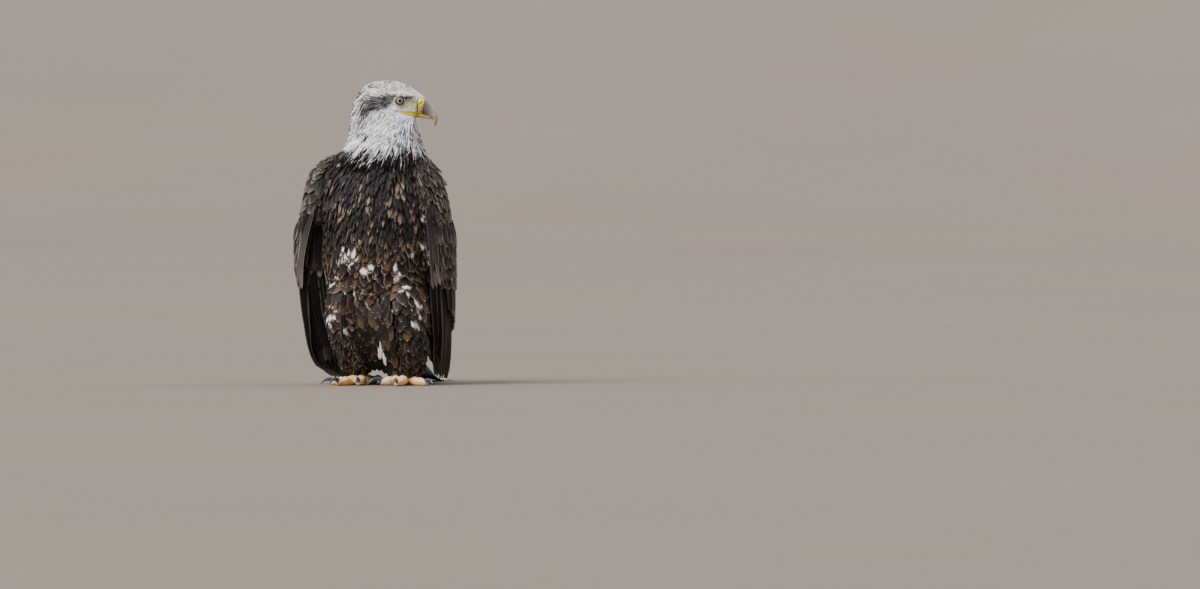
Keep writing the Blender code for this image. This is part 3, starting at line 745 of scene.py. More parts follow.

# %% [markdown]
# ## The plumage finish
# A vane is hundreds of parallel barbs on a shaft. The finish reads each feather's own place
# across and along the vane, which is stored in its mesh, and its three dice. From these come
# the second colour, which grows towards the tip, a white base, a brown margin with a pale worn
# rim, the shaft line and the fine slanting barbs. Each vane also gets painted shade towards its
# root, where the next feather covers it. The skin uses the same finish with every dice at zero.


# %% Make the plumage finish
def plumage_finish(name, barbs, roughness, shaft_width, sheen):
    material, tree, shader = material_tree(name)

    across, along, _ = stored_value(tree, "vane", "Vector").parts()
    across = tree.maths("ABSOLUTE", across)
    first, second, third = stored_value(tree, "dice", "Vector").parts()
    change, base, edge = stored_value(tree, "odds", "Vector").parts()
    dark_shaft, pale_shaft, streak = stored_value(tree, "lines", "Vector").parts()
    cloud = noise(tree, 260.0, 3.0)
    worn = (cloud - 0.5) * 0.3
    has_vane = along.step(0.0, 0.02)
    to_tip = (along + worn).step(0.40, 0.78)
    colour = stored_value(tree, "main", "Color")
    second_colour = stored_value(tree, "other", "Color")
    bright = colour.parts()[0]
    middle_line = 1 - (across + worn).step(0.45, 0.85)
    pick = (change - first).step(0.0, 0.03) * has_vane
    margin = tree.maths("MAXIMUM", (across + worn).step(0.40, 0.85), (along + worn).step(0.66, 0.92))
    colour = colour.mix(second_colour, margin * edge * (0.25 + 0.5 * third) * has_vane * (1 - streak))
    spread = (0.15 + 0.85 * to_tip) * (1 - streak) + middle_line * streak
    colour = colour.mix(second_colour, pick * spread)
    pale_base = (base - second).step(0.0, 0.03) * (1 - (along + worn).step(0.70, 0.90)) * has_vane
    colour = colour.mix(WHITE, pale_base * 0.95)
    rim = tree.maths("MAXIMUM", across.step(0.68, 0.93), along.step(0.88, 0.98))
    colour = colour.mix(FRINGE, rim * edge * (0.2 + 0.8 * third) * along.step(0.35, 0.6) * 0.85)
    shaft = (1 - across.step(shaft_width * 0.4, shaft_width)) * along.step(0.15, 0.4)
    colour = colour.mix(NEAR_BLACK, shaft * dark_shaft)
    half_of_them = tree.maths("FRACT", first * 7.0).step(0.5, 0.9)
    colour = colour.mix(FRINGE, shaft * pale_shaft * half_of_them)
    slant = along * barbs + across * barbs * 0.16 + first * 9.0
    barb = tree.maths("SINE", slant) * 0.5 + 0.5
    # Painted shade: the vane is mixed towards black near its root, white feathers less so; the barbs, the
    # cloud and the dice vary the amount at random.
    shade = 0.70 + barb * 0.08 + cloud * 0.10 + third * 0.16 + bright * 0.14
    under = 0.40 + bright * 0.40
    under = under + (1 - under) * along.step(0.10, 0.60)
    colour = colour.mix((0.0, 0.0, 0.0), (1 - shade * under) * has_vane)
    feed(shader, "Base Color", colour)
    feed(shader, "Roughness", roughness + barb * 0.10)
    feed(shader, "Sheen Weight", sheen)
    feed(shader, "Sheen Roughness", 0.4)
    feed(shader, "Specular IOR Level", 0.22)
    feed_relief(shader, barb + cloud, 0.25, 0.0002)
    return material


plumage = plumage_finish("plumage", 260.0, 0.58, 0.12, 0.03)
skin.data.materials.append(plumage)
body.store(way=way, lie=lie, out=out, main=main, other=other, odds=odds, lines=lines)

# %% [markdown]
# ## The vanes that are copied
# Small feathers are alike, so a few shapes of each kind are enough: short down for the face,
# pointed hackles for the neck, lances for the chest, rounded contour feathers for the belly
# and broad coverts for the wing. A vane lies flat here, one unit long and one wide. Its true
# height above the skin, from the root that is tucked in to the tip that lies on the next
# feather, is stored beside it. Of a broad vane the table below says where it reaches its full
# width, where its tip starts to narrow, how round it narrows and how blunt it ends.

# %% Make the vane shapes
BROAD_VANES = {"lance": (0.30, 0.42, 1.0, 0.62), "contour": (0.28, 0.50, 2.1, 0.60),
               "covert": (0.22, 0.56, 2.4, 0.5)}


def half_width(kind, along):
    if kind == "down":
        return math.sin(math.pi * min(along, 0.999) ** 0.8) ** 0.7
    if kind == "hackle":
        return 1.35 * along ** 0.35 * (1 - along) ** 0.75
    root, widest, taper, point = BROAD_VANES[kind]
    past = max(along - widest, 0.0) / (1 - widest)
    return min(1.0, (along / root) ** 0.7) * max(0.0, 1 - past ** taper) ** point


def vane_shape(name, kind, rows, columns, ragged, dome, seed):
    """A closed vane, rounded on top, with columns points across and its root and tip drawn in."""
    chance = np.random.default_rng(seed)
    points, vanes, heights, faces = [], [], [], []
    bend = chance.uniform(-0.10, 0.10)
    for row in range(rows):
        along = math.sin((row + 0.6) / (rows + 0.1) * math.pi / 2) ** 0.95
        width = half_width(kind, along)
        for column in range(columns):
            across = 2 * column / (columns - 1) - 1
            wear = 1 + chance.uniform(-ragged, ragged * 0.4) * abs(across)
            slip = chance.uniform(-1, 1) * ragged * 0.22 * along - 0.04 * abs(across) * along
            points.append((0.5 * across * width * wear + bend * along ** 2, along + slip, 0.0))
            vanes.append((across, along, 0.0))
            heights.append(along ** 1.15 + dome * (1 - across ** 2) * math.sin(math.pi * along) ** 0.5)
    root, tip = len(points), len(points) + 1
    points += [(0, 0, 0), (bend + chance.uniform(-0.03, 0.03), 1.0, 0)]
    vanes += [(0, 0.03, 0), (0, 1, 0)]
    heights += [0.0, 1.0]
    for row in range(rows):
        start = row * columns
        for column in range(columns):
            here, there = start + column, start + (column + 1) % columns
            if row < rows - 1:
                faces.append((here, there, there + columns, here + columns))
            else:
                faces.append((here, there, tip))
            if row == 0:
                faces.append((there, here, root))
    mesh = mesh_of(name, points, faces)
    write_layer(mesh, "vane", vanes)
    write_layer(mesh, "height", heights)
    return bpy.data.objects.new(name, mesh)


VANE_KINDS = {"down": (2, 3, 0.12, 0.20), "hackle": (4, 3, 0.16, 0.12), "lance": (6, 5, 0.18, 0.10),
              "contour": (7, 5, 0.16, 0.10), "covert": (7, 5, 0.07, 0.10)}
COPIES = 5
vane_sets = {}
for number, (kind, (rows, columns, ragged, dome)) in enumerate(VANE_KINDS.items()):
    vane_sets[kind] = bpy.data.collections.new(kind)
    for copy in range(COPIES):
        vane_sets[kind].objects.link(
            vane_shape(f"{kind}_{copy}", kind, rows, columns, ragged, dome, 10 * number + copy))

# %% [markdown]
# ## Grow the coat
# A node tree scatters roots over the skin with an even gap, turns a vane to the lie at each
# root, scales it, and makes the copies real. Then it lays each vane on the body: every point
# moves to the nearest place on the skin, raised by the height that was stored beside it. Stiff
# copies would stand off a round body like quills. The share called hug says how far a feather
# follows the body, and it is low at hems, where the tips hang free.

# %% Build the coat tree
COAT_SIZES = (("Gap", "NodeSocketFloat", 0.006), ("Swing", "NodeSocketFloat", 0.2),
              ("Vary", "NodeSocketFloat", 0.2), ("Seed", "NodeSocketInt", 1))


def coat_tree():
    tree = bpy.data.node_groups.new("coat", "GeometryNodeTree")
    face = tree.interface
    face.new_socket("Skin", in_out="INPUT", socket_type="NodeSocketGeometry")
    for name, kind, value in COAT_SIZES:
        face.new_socket(name, in_out="INPUT", socket_type=kind).default_value = value
    face.new_socket("Vanes", in_out="INPUT", socket_type="NodeSocketCollection")
    face.new_socket("Finish", in_out="INPUT", socket_type="NodeSocketMaterial")
    face.new_socket("Coat", in_out="OUTPUT", socket_type="NodeSocketGeometry")
    flow = Flow(tree)
    entry = flow.node("NodeGroupInput")
    gap, swing, vary, seed = (entry.other(name) for name, _, _ in COAT_SIZES)

    def stored(name, kind="FLOAT"):
        return flow.node("GeometryNodeInputNamedAttribute", {"data_type": kind}, {"Name": name})

    def dice(low, high, offset):
        return flow.node("FunctionNodeRandomValue", {"data_type": "FLOAT"},
                         {2: low, 3: high, "Seed": seed + float(offset)}, 1)

    def keep(geometry, name, value, kind="FLOAT_VECTOR"):
        return flow.node("GeometryNodeStoreNamedAttribute", {"data_type": kind, "domain": "POINT"},
                         {"Geometry": geometry, "Name": name, "Value": value})

    skin_shape = entry.other("Skin")
    roots = flow.node("GeometryNodeDistributePointsOnFaces", {"distribute_method": "POISSON"},
                      {"Mesh": skin_shape, "Distance Min": gap, "Density Max": 1.6 / (gap * gap),
                       "Density Factor": stored("grow"), "Seed": seed})
    roots = keep(roots, "root", flow.node("GeometryNodeInputPosition"))
    throw = flow.node("ShaderNodeCombineXYZ", None, {i: dice(0.0, 1.0, i + 1) for i in range(3)})
    roots = keep(roots, "dice", throw)
    out, lie = stored("out", "FLOAT_VECTOR"), stored("lie", "FLOAT_VECTOR")
    swung = lie + flow.maths("CROSS_PRODUCT", out, lie) * (dice(-1.0, 1.0, 5) * swing).vector()
    turn = flow.node("FunctionNodeAxesToRotation", {"primary_axis": "Z", "secondary_axis": "Y"},
                     {0: out, 1: swung})
    size = stored("size", "FLOAT_VECTOR") * (1.0 + dice(-1.0, 1.0, 6) * vary).vector()
    choice = flow.node("FunctionNodeRandomValue", {"data_type": "INT"},
                       {4: 0, 5: COPIES - 1, "Seed": seed}, 2)
    vanes = flow.node("GeometryNodeCollectionInfo", None,
                      {"Collection": entry.other("Vanes"), "Separate Children": True,
                       "Reset Children": True})
    coat = flow.node("GeometryNodeInstanceOnPoints", None,
                     {"Points": roots, "Instance": vanes, "Pick Instance": True, "Instance Index": choice,
                      "Rotation": turn, "Scale": size})
    coat = flow.node("GeometryNodeRealizeInstances", None, {"Geometry": coat})
    place = flow.node("GeometryNodeInputPosition")

    def on_skin(value):
        return flow.node("GeometryNodeSampleNearestSurface", {"data_type": "FLOAT_VECTOR"},
                         {"Mesh": skin_shape, "Value": value, "Sample Position": place})

    first, second, _ = stored("dice", "FLOAT_VECTOR").parts()
    across = stored("vane", "FLOAT_VECTOR").parts()[0]
    rise = (stored("height") * stored("rise") * (0.7 + 0.6 * second)).vector()
    roll = (across * (first - 0.5) * stored("rise") * 0.45).vector()
    laid = on_skin(place) + on_skin(out) * (rise + roll)
    stiff = place + out * (rise + roll)
    hug = flow.node("ShaderNodeMix", {"data_type": "VECTOR"}, {0: stored("hug"), 4: stiff, 5: laid}, 1)
    coat = flow.node("GeometryNodeSetPosition", None, {"Geometry": coat, "Position": hug})
    coat = flow.node("GeometryNodeSetMaterial", None, {"Geometry": coat, "Material": entry.other("Finish")})
    flow.node("NodeGroupOutput", None, {"Coat": coat})
    return tree


growing = coat_tree()
KEPT_VALUES = ("vane", "dice", "main", "other", "odds", "lines")
KEPT_LAYERS = KEPT_VALUES + ("OFBake", "material_index", "sharp_face")
PATCH = 0.003


def read_vectors(mesh, name):
    values = np.zeros(len(mesh.vertices) * 3, np.float32)
    mesh.attributes[name].data.foreach_get("vector", values)
    return values.reshape(-1, 3)


def unwrap_roots(piece):
    """Gives every feather a small patch at its root's place on the unrolled skin."""
    roots, vanes = read_vectors(piece.data, "root"), read_vectors(piece.data, "vane")
    low, high, centre = roots[:, 2].min(), roots[:, 2].max() + 1e-6, roots.mean(axis=0)
    bearing = np.arctan2(roots[:, 0] - centre[0], centre[1] - roots[:, 1]) / math.tau + 0.5
    rise = (roots[:, 2] - low) / (high - low)
    patch = np.stack([vanes[:, 0] * 0.5, vanes[:, 1] - 0.5], axis=1) * PATCH
    place = np.stack([bearing, rise], axis=1) * (1 - 2 * PATCH) + PATCH + patch
    corners = np.array([loop.vertex_index for loop in piece.data.loops])
    layer = piece.data.uv_layers.new(name="OFBake")
    layer.data.foreach_set("uv", place[corners].astype(np.float32).ravel())


def grow_coat(name, kind, gap, size, rise, where, hug, swing=0.16, vary=0.2, seed=1, ground=None):
    """Grows a piece of the coat on the skin, or on other ground, where the share is above 0."""
    piece = object_of(name, (ground or skin).data.copy())
    for label, values in (("size", size), ("rise", rise), ("grow", where), ("hug", hug)):
        if np.ndim(values) == 0:
            values = np.full(len(piece.data.vertices), values)
        write_layer(piece.data, label, values)
    grower = piece.modifiers.new("coat", "NODES")
    grower.node_group = growing
    wanted = {"Gap": gap, "Swing": swing, "Vary": vary, "Seed": seed,
              "Vanes": vane_sets[kind], "Finish": plumage}
    for socket in growing.interface.items_tree:
        if socket.name in wanted:
            grower[socket.identifier] = wanted[socket.name]
    baked(piece)
    unwrap_roots(piece)
    layers = piece.data.attributes
    for name_of_layer in [a.name for a in layers if not a.is_internal and not a.is_required]:
        if name_of_layer not in KEPT_LAYERS:
            layers.remove(layers[name_of_layer])
    shade_smooth(piece)
    print(name, "has", count_triangles(piece), "triangles")
    return piece


# %% [markdown]
# ## Where each kind of feather grows
# Feathers get longer with the way from the bill. The face has a fuzz of three to eight
# millimetres, the neck has pointed hackles of up to four centimetres, and the body's contour
# feathers are broad. Round the eye the skin is bare, and on the lore in front of it nearly so.

# %% Measure where each kind grows
SET_BACK = 0.0030
BARE_RING = (0.0078, 0.0086)
HEM = 0.275
RUMP_WIDTH, RUMP_LENGTH = 0.020, 0.054


def sizes(width, length):
    return np.stack([width, length, np.ones_like(width)], axis=1)


points = body.points
forward, side, up = head_place(points)
height = points[:, 2]
bearing = np.arctan2(points[:, 0] - axis[0], -(points[:, 1] - axis[1]))
front = np.cos(bearing)
on_head = height > neck_foot
cere_tree = BVHTree.FromBMesh(merged("cere"))
in_cere = np.zeros(len(points))
for number in np.flatnonzero(forward > 0.024):
    place = Vector(points[number] + head_forward * SET_BACK)
    near, facing, _, _ = cere_tree.find_nearest(place)
    in_cere[number] = (place - near).dot(facing) < 0.0002
bare = 1 - ramp(np.hypot(forward, up), *BARE_RING)
lore_gap = ramp(bump_along(forward, up, (0.0150, -0.0055), (0.034, -0.0085), 0.0058), 0.40, 0.60)
bare = np.maximum(bare, 0.72 * lore_gap)
mouth_gap = bump_along(forward, up, (0.000, -0.0188), (0.038, -0.0238), 0.0050)
bare = np.maximum(bare, ramp(mouth_gap, 0.35, 0.60))
bare = np.maximum(bare * (np.abs(side) > 0.008), in_cere) * on_head
head_length = np.interp(way, [0, 0.02, 0.05, 0.08, 0.11, 0.15],
                        [0.0032, 0.0042, 0.0072, 0.0115, 0.019, 0.027])
hackle = np.interp(height, [0.44, 0.47, 0.50, 0.525], [0.044, 0.038, 0.025, 0.008]) * ramp(way, 0.010, 0.045)
head_length = np.maximum(head_length, hackle)
is_face = (head_length < 0.0085) * on_head
is_crown = (head_length >= 0.0075) * (head_length < 0.0165) * on_head
is_neck = (head_length >= 0.0155) * (height > neck_foot + 0.004)
print("bare points on the head:", int((bare > 0.5).sum()), "of", int(on_head.sum()))

# %% Grow the head and neck
coats = []
coats.append(grow_coat("coat_face", "down", 0.00105, sizes(head_length * 0.20 + 0.0006, head_length),
                       0.0009 + head_length * 0.12, is_face * (1 - bare), 1.0, 0.25, 0.25, 1))
coats.append(grow_coat("coat_crown", "hackle", 0.00150, sizes(head_length * 0.12 + 0.0010, head_length),
                       0.0011 + head_length * 0.13, is_crown * (1 - bare), 0.95, 0.22, 0.25, 2))
neck_hug = 0.9 - 0.50 * ramp(height, 0.490, 0.465)
coats.append(grow_coat("coat_neck", "hackle", 0.0021, sizes(head_length * 0.05 + 0.0018, head_length),
                       0.0018 + head_length * 0.15, is_neck, neck_hug, 0.20, 0.34, 3))

# %% Grow the chest, belly and back
trunk = (1 - wing) * (1 - tail) * (height <= neck_foot + 0.006)
chest_length = np.interp(height, [0.06, 0.15, 0.28, 0.40, 0.44], [0.032, 0.037, 0.040, 0.038, 0.030])
chest_width = chest_length * np.interp(height, [0.10, 0.24, 0.32, 0.44], [0.54, 0.54, 0.42, 0.31])
body_rise = 0.0028 + chest_length * 0.11
at_front = ramp(front, -0.25, -0.15)
upper = height > HEM
hem = 1 - 0.8 * ramp(height, 0.085, 0.060)
over_arch = ramp(np.abs(points[:, 0] - axis[0]), 0.052, 0.036) * ramp(height, 0.215, 0.185)
over_arch = over_arch * ramp(front, 0.2, 0.5)
hem = hem * (1 - 0.85 * over_arch)
below = ramp(out[:, 2], -0.45, -0.70) * (height > 0.10)
coats.append(grow_coat("coat_chest", "lance", 0.0050, sizes(chest_width, chest_length), body_rise,
                       trunk * at_front * upper, 0.92, 0.16, 0.22, 4))
coats.append(grow_coat("coat_belly", "contour", 0.0074, sizes(chest_width, chest_length), body_rise,
                       trunk * at_front * (1 - upper) * (1 - below), 0.92 * hem, 0.14, 0.20, 5))
back_length = np.interp(height, [0.10, 0.30, 0.44], [0.048, 0.044, 0.032])
coats.append(grow_coat("coat_back", "contour", 0.0078, sizes(back_length * 0.50, back_length),
                       0.003 + back_length * 0.10, trunk * (1 - at_front), 0.92, 0.16, 0.22, 6))

# %% Grow the wing coverts and the rump
wing_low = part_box("wing_left_coverts")[0].z
wing_length = np.interp(height, [wing_low, 0.30, 0.38, 0.44], [0.040, 0.036, 0.029, 0.021])
for number, name in enumerate(("left", "right")):
    inner_side = ramp(out[:, 0] * side_sign(name), 0.0, -0.3) * ramp(height, 0.36, 0.33)
    here = ramp(share[f"wing_{name}_coverts"], 0.35, 0.65) * (1 - inner_side)
    here = here * (1 - ramp(out[:, 2], -0.3, -0.6))
    coats.append(grow_coat(f"coat_wing_{name}", "covert", 0.0080, sizes(wing_length * 0.62, wing_length),
                           0.0016 + wing_length * 0.10, here, 0.9, 0.14, 0.18, 7 + number))
rump_size = sizes(np.full_like(tail, RUMP_WIDTH), np.full_like(tail, RUMP_LENGTH))
coats.append(grow_coat("coat_rump", "contour", 0.0080, rump_size, 0.0075, ramp(tail, 0.35, 0.65),
                       0.85, 0.14, 0.2, 9))

# %% [markdown]
# ## Long feathers of the wings
# A folded wing shows three rows: greater coverts over secondaries over the long primaries,
# each feather half hidden by the next one towards the body. They are laid one by one along
# the outer face of the wing's solids. A place on a wing is the part of the way round from its
# leading edge to its rear edge, and a height. Rays cast inwards find the point of the solid,
# so the feathers keep the true outline. Each vane is closed, cambered and has a raised shaft.
# Between the wing's front edge and the belly one sees into the inside of the wing, so a
# curtain of narrow feathers hangs there, painted darker than the flight feathers as the shade
# inside the wing. Another sheet of feathers hangs between the thighs, where a real bird's belly
# feathers close the gap down to the feet.

# %% Find places on a wing, and lay a feather there
WAY_BEHIND_EDGE = 0.055
FULL_ROUND_FOOT = 0.12
CURTAIN_BACK = 0.014
CURTAIN_TUCK = 0.012
USUAL_REACHES = (0.08, 0.13)
VENT_HALF = 0.045
VENT_FRONT = -0.165
flank_tree = BVHTree.FromBMesh(merged("trunk", "thigh_left", "thigh_right"))


class WingFace:
    """The outer face of one wing: part 0 is the leading edge and part 1 the rear one."""

    def __init__(self, side):
        self.out = side_sign(side)
        rows = {row: merged(f"wing_{side}_{row}") for row in ("coverts", "secondaries", "primaries")}
        self.rows = {row: BVHTree.FromBMesh(shape) for row, shape in rows.items()}
        whole = merged(*(f"wing_{side}_{row}" for row in rows))
        self.whole = BVHTree.FromBMesh(whole)
        ends = np.array([[v.co for v in e.verts] for e in whole.edges])
        self.heights = np.linspace(0.012, ends[:, :, 2].max() - 0.004, 30)
        self.lead_y, self.lead, self.rear = [], [], []
        for height in self.heights:
            low, high = ends[:, 0], ends[:, 1]
            crossing = (low[:, 2] - height) * (high[:, 2] - height) < 0
            low, high = low[crossing], high[crossing]
            cut = low + (high - low) * ((height - low[:, 2]) / (high[:, 2] - low[:, 2]))[:, None]
            self.lead_y.append(cut[:, 1].min())
            bearing = self.bearing(cut, cut[:, 1].min() + WAY_BEHIND_EDGE)
            self.lead.append(bearing.min() + 0.02)
            self.rear.append(bearing.max() - 0.02)
        full = np.searchsorted(self.heights, FULL_ROUND_FOOT)
        self.rear[:full] = [self.rear[full]] * full

    def bearing(self, places, centre_y):
        return np.arctan2((places[:, 0] - axis[0]) * self.out, centre_y - places[:, 1])

    def hit(self, part, height, row=None):
        lead, rear, front_y = (np.interp(height, self.heights, line)
                               for line in (self.lead, self.rear, self.lead_y))
        bearing = lead + (rear - lead) * part
        centre = Vector((axis[0], front_y + WAY_BEHIND_EDGE, height))
        away = Vector((math.sin(bearing) * self.out, -math.cos(bearing), 0.0))
        tree = self.rows[row] if row else self.whole
        return centre, away, tree.ray_cast(centre + away * 0.4, -away, 0.4)

    def foot(self, row, part):
        """The lowest height of a row of feathers at a part of the way round."""
        for height in np.arange(0.003, 0.40, 0.003):
            if self.hit(part, height, row)[2][0]:
                return height
        return 0.0

    def spot(self, part, height):
        centre, away, (place, normal, _, _) = self.hit(part, height)
        if place is None:
            place, normal, _, _ = self.whole.find_nearest(centre + away * 0.12)
        normal = normal if normal.dot(away) > 0 else away
        facing = (normal * 0.5 + away * 0.5).normalized()
        return np.array(place), np.array(facing)

    def inside_spot(self, part, height):
        """A place on the curtain from the flank, part 0, to inside the wing's edge, part 1."""
        across = Vector((-self.out, 0.0, 0.0))
        y = np.interp(height, self.heights, self.lead_y) + CURTAIN_BACK
        start = Vector((axis[0] + self.out * 0.3, y, height))
        reach = [tree.ray_cast(start, across)[0] for tree in (flank_tree, self.whole)]
        flank, edge = (abs(hit.x - axis[0]) if hit else usual for hit, usual in zip(reach, USUAL_REACHES))
        width = max(edge - 0.005, flank + CURTAIN_TUCK) - flank + CURTAIN_TUCK
        x = flank - CURTAIN_TUCK + width * part
        place = np.array((axis[0] + self.out * x, y + CURTAIN_TUCK * (1 - part), height))
        return place, np.array((-0.25 * self.out, -0.97, 0.0))


def vent_spot(part, height):
    """A place on the sheet between the thighs: part -1 to 1 from the right one to the left."""
    fronts = [flank_tree.ray_cast(Vector((axis[0] + side * VENT_HALF, -0.6, height)), Vector((0, 1, 0)))[0]
              for side in (-1, 1)]
    front_y = sum(hit.y if hit else VENT_FRONT for hit in fronts) / 2
    hollow = np.interp(height, [0.03, 0.08, 0.13, 0.16], [0.016, 0.016, 0.018, 0.026]) * (1 - part * part)
    place = np.array((axis[0] + part * VENT_HALF, front_y + hollow - 0.002, height))
    return place, np.array((0.0, -1.0, 0.0))


# %% Stack closed feathers in one piece
FEATHER_COLUMNS = np.array((-1, -0.62, -0.25, -0.06, 0, 0.06, 0.25, 0.62, 1))
VANE_THICK = 0.0006
ROOT_TUCK = 0.0035


class FeatherStack:
    """Collects closed feathers for one piece, with the values that their finish reads."""

    def __init__(self):
        self.points, self.faces, self.values = [], [], {name: [] for name in KEPT_VALUES}
        self.corners, self.feathers = [], 0

    def add(self, top, under, alongs, look):
        rows, columns = top.shape[:2]
        start, count = len(self.points), rows * columns
        self.points += [*top.reshape(-1, 3), *under.reshape(-1, 3)]
        vanes = np.array([(c, a, 0) for a in alongs for c in FEATHER_COLUMNS])
        for name in KEPT_VALUES:
            values = vanes if name == "vane" else np.tile(look[name], (count, 1))
            self.values[name] += [*values, *values]
        for row in range(rows - 1):
            for column in range(columns - 1):
                a = start + row * columns + column
                quad = (a, a + 1, a + columns + 1, a + columns)
                self.face(quad, vanes, start, 0)
                self.face(tuple(v + count for v in (quad[0], *quad[:0:-1])), vanes, start + count, 1)
            for a, b in ((start + row * columns, 0), (start + (row + 1) * columns - 1, 1)):
                ring = (a, a + columns, a + columns + count, a + count)
                self.face(ring if b == 0 else ring[::-1], vanes, start, 0, count)
        for column in range(columns - 1):
            a, b = start + column, start + (rows - 1) * columns + column
            self.face((a + count, a + 1 + count, a + 1, a), vanes, start, 0, count)
            self.face((b, b + 1, b + 1 + count, b + count), vanes, start, 0, count)
        self.feathers += 1

    def face(self, ring, vanes, start, under, wrap=None):
        self.faces.append(ring)
        for v in ring:
            across, along, _ = vanes[(v - start) % (wrap or len(vanes))]
            self.corners.append((self.feathers + (0.25 + 0.22 * across + 0.5 * under), along))

    def piece(self, name, finish):
        mesh = mesh_of(name, self.points, self.faces)
        for label, values in self.values.items():
            write_layer(mesh, label, values)
        layer = mesh.uv_layers.new(name="OFBake")
        place = np.array(self.corners) * (1 / self.feathers, 0.96) + (0.0, 0.02)
        layer.data.foreach_set("uv", place.astype(np.float32).ravel())
        made = object_of(name, mesh)
        mesh.materials.append(finish)
        turn_outwards(mesh)
        print(name, "has", self.feathers, "feathers,", count_triangles(made), "triangles")
        return made


def blade(along, tip=0.10, root=0.08):
    """Half width of a long feather: nearly even, with a rounded tip."""
    return min(1.0, (along / root) ** 0.5) * max(0.0, 1 - max((along - 1 + tip) / tip, 0.0) ** 2.2) ** 0.5


def lay_feather(stack, spot, start, end, width, lift, look, chance, rows=18, outer=0.55, tilt=0.0008,
                tip=0.10, floor=-1.0):
    """Lays one long feather from its root place to its tip place, nowhere lower than floor."""
    tops, unders, alongs = [], [], []
    for row in range(rows):
        along = math.sin(row / (rows - 1) * math.pi / 2) ** 0.9
        part = start[0] + (end[0] - start[0]) * along
        place = start[1] + (end[1] - start[1]) * along
        centre = spot(part, place)[0]
        metres = np.linalg.norm(spot(part + 0.02, place)[0] - centre) / 0.02
        half = max(width * 0.5 * blade(along, tip), 0.0006)
        line = []
        for across in FEATHER_COLUMNS:
            reach = across * half * (outer if across < 0 else 1.0) * (1 + chance.uniform(-0.03, 0.03))
            drop = 0.03 * width * abs(across) * (along - 0.35) * np.sign(start[1] - end[1])
            point, facing = spot(part + reach / max(metres, 0.02), place + drop)
            camber = 0.0010 * (1 - across ** 2) + (0.0007 if abs(across) < 0.1 else 0.0)
            tuck = ROOT_TUCK * (1 - min(along / 0.3, 1))
            line.append((point, facing, lift + camber - tilt * across - tuck))
        tops.append([point + facing * rise for point, facing, rise in line])
        unders.append([point + facing * (rise - VANE_THICK) for point, facing, rise in line])
        alongs.append(along)
    tops, unders = np.array(tops), np.array(unders)
    unders[..., 2] = np.maximum(unders[..., 2], floor)
    tops[..., 2] = np.maximum(tops[..., 2], floor + VANE_THICK)
    stack.add(tops, unders, alongs, look)


def feather_look(chance, main, other, edge, change=0.0, base=0.0, shaft=0.5, pale=0.0):
    """What the finish reads on one feather; main is a little lighter or darker on each."""
    wear = chance.uniform(0.86, 1.14)
    return {"dice": chance.uniform(size=3), "main": np.array(main) * wear, "other": other,
            "odds": (change, base, edge), "lines": (shaft, pale, 0.0)}


# %% Lay the wing feathers
FLIGHT_DARK = tone(18, 15, 16)
# Painted sheen: a grey for dark glossy feathers that reflect the pale sky.
FLIGHT_SHEEN_GREY = tone(84, 78, 78)
FLIGHT_BROWN = tone(60, 48, 42)
PRIMARIES, SECONDARIES, ALULA = 10, 14, 5
COVERT_LEVELS, COVERTS = 5, 19
LINING_LONG, LINING_SHORT = 9, 8
ALULA_SHEEN_SHARES = (0.50, 0.95, 0.62, 0.88, 0.55)
WING_ROWS = ("primaries", "secondaries", "greater_coverts", "alula", "lining")
flight = plumage_finish("flight_vane", 1400.0, 0.46, 0.07, 0.0)
wing_faces = {side: WingFace(side) for side in ("left", "right")}
flight_pieces = {}


def lay_wing(side, seed):
    face, chance = wing_faces[side], np.random.default_rng(seed)
    rows = {name: FeatherStack() for name in WING_ROWS}
    lay_flight_rows(face, rows, chance)
    lay_greater_coverts(face, rows["greater_coverts"], chance)
    lay_alula(face, rows["alula"], chance)
    lay_lining(face, rows["lining"], chance)
    for label, stack in rows.items():
        flight_pieces[f"{side}_{label}"] = stack.piece(f"wing_{side}_{label}_vanes", flight)


def lay_flight_rows(face, rows, chance):
    for step in range(PRIMARIES):
        share = step / (PRIMARIES - 1)
        tip = 0.03 + 0.78 * share
        foot = face.foot("primaries", tip) + 0.001 + chance.uniform(0, 0.003)
        look = feather_look(chance, FLIGHT_DARK, FLIGHT_BROWN, 0.5 + 0.3 * share, 0.35)
        lay_feather(rows["primaries"], face.spot, (0.05 + 0.60 * share, 0.31), (tip, foot), 0.036,
                    -0.0075 + 0.0030 * share, look, chance, rows=26, outer=0.45, tip=0.07)
    for step in range(SECONDARIES):
        share = step / (SECONDARIES - 1)
        tip = 0.25 + 0.72 * share
        foot = face.foot("secondaries", tip) - 0.002 + chance.uniform(-0.002, 0.004)
        look = feather_look(chance, FLIGHT_DARK * 1.15, FLIGHT_BROWN, 0.6, 0.4)
        lay_feather(rows["secondaries"], face.spot, (0.16 + 0.80 * share, 0.29), (tip, foot), 0.036,
                    -0.0032 + 0.0016 * share, look, chance, rows=20, outer=0.5, tip=0.13)


def lay_greater_coverts(face, stack, chance):
    for level in range(COVERT_LEVELS):
        count = COVERTS + level % 2
        for step in range(count):
            tip = 0.10 + 0.88 * (step + 0.5 * (level % 2)) / count
            low = face.foot("coverts", tip) - 0.040 + 0.021 * level + chance.uniform(-0.006, 0.004)
            look = feather_look(chance, WING_BROWN * chance.uniform(0.7, 1.2), WING_MARGIN, 1.0, 0.15)
            lay_feather(stack, face.spot, (tip - 0.01, low + 0.060 - 0.004 * level), (tip, low),
                        0.0245 - 0.0012 * level, 0.0002 + 0.0010 * level + 0.0004 * (step % 2), look, chance,
                        rows=10, tip=0.42, outer=0.8)


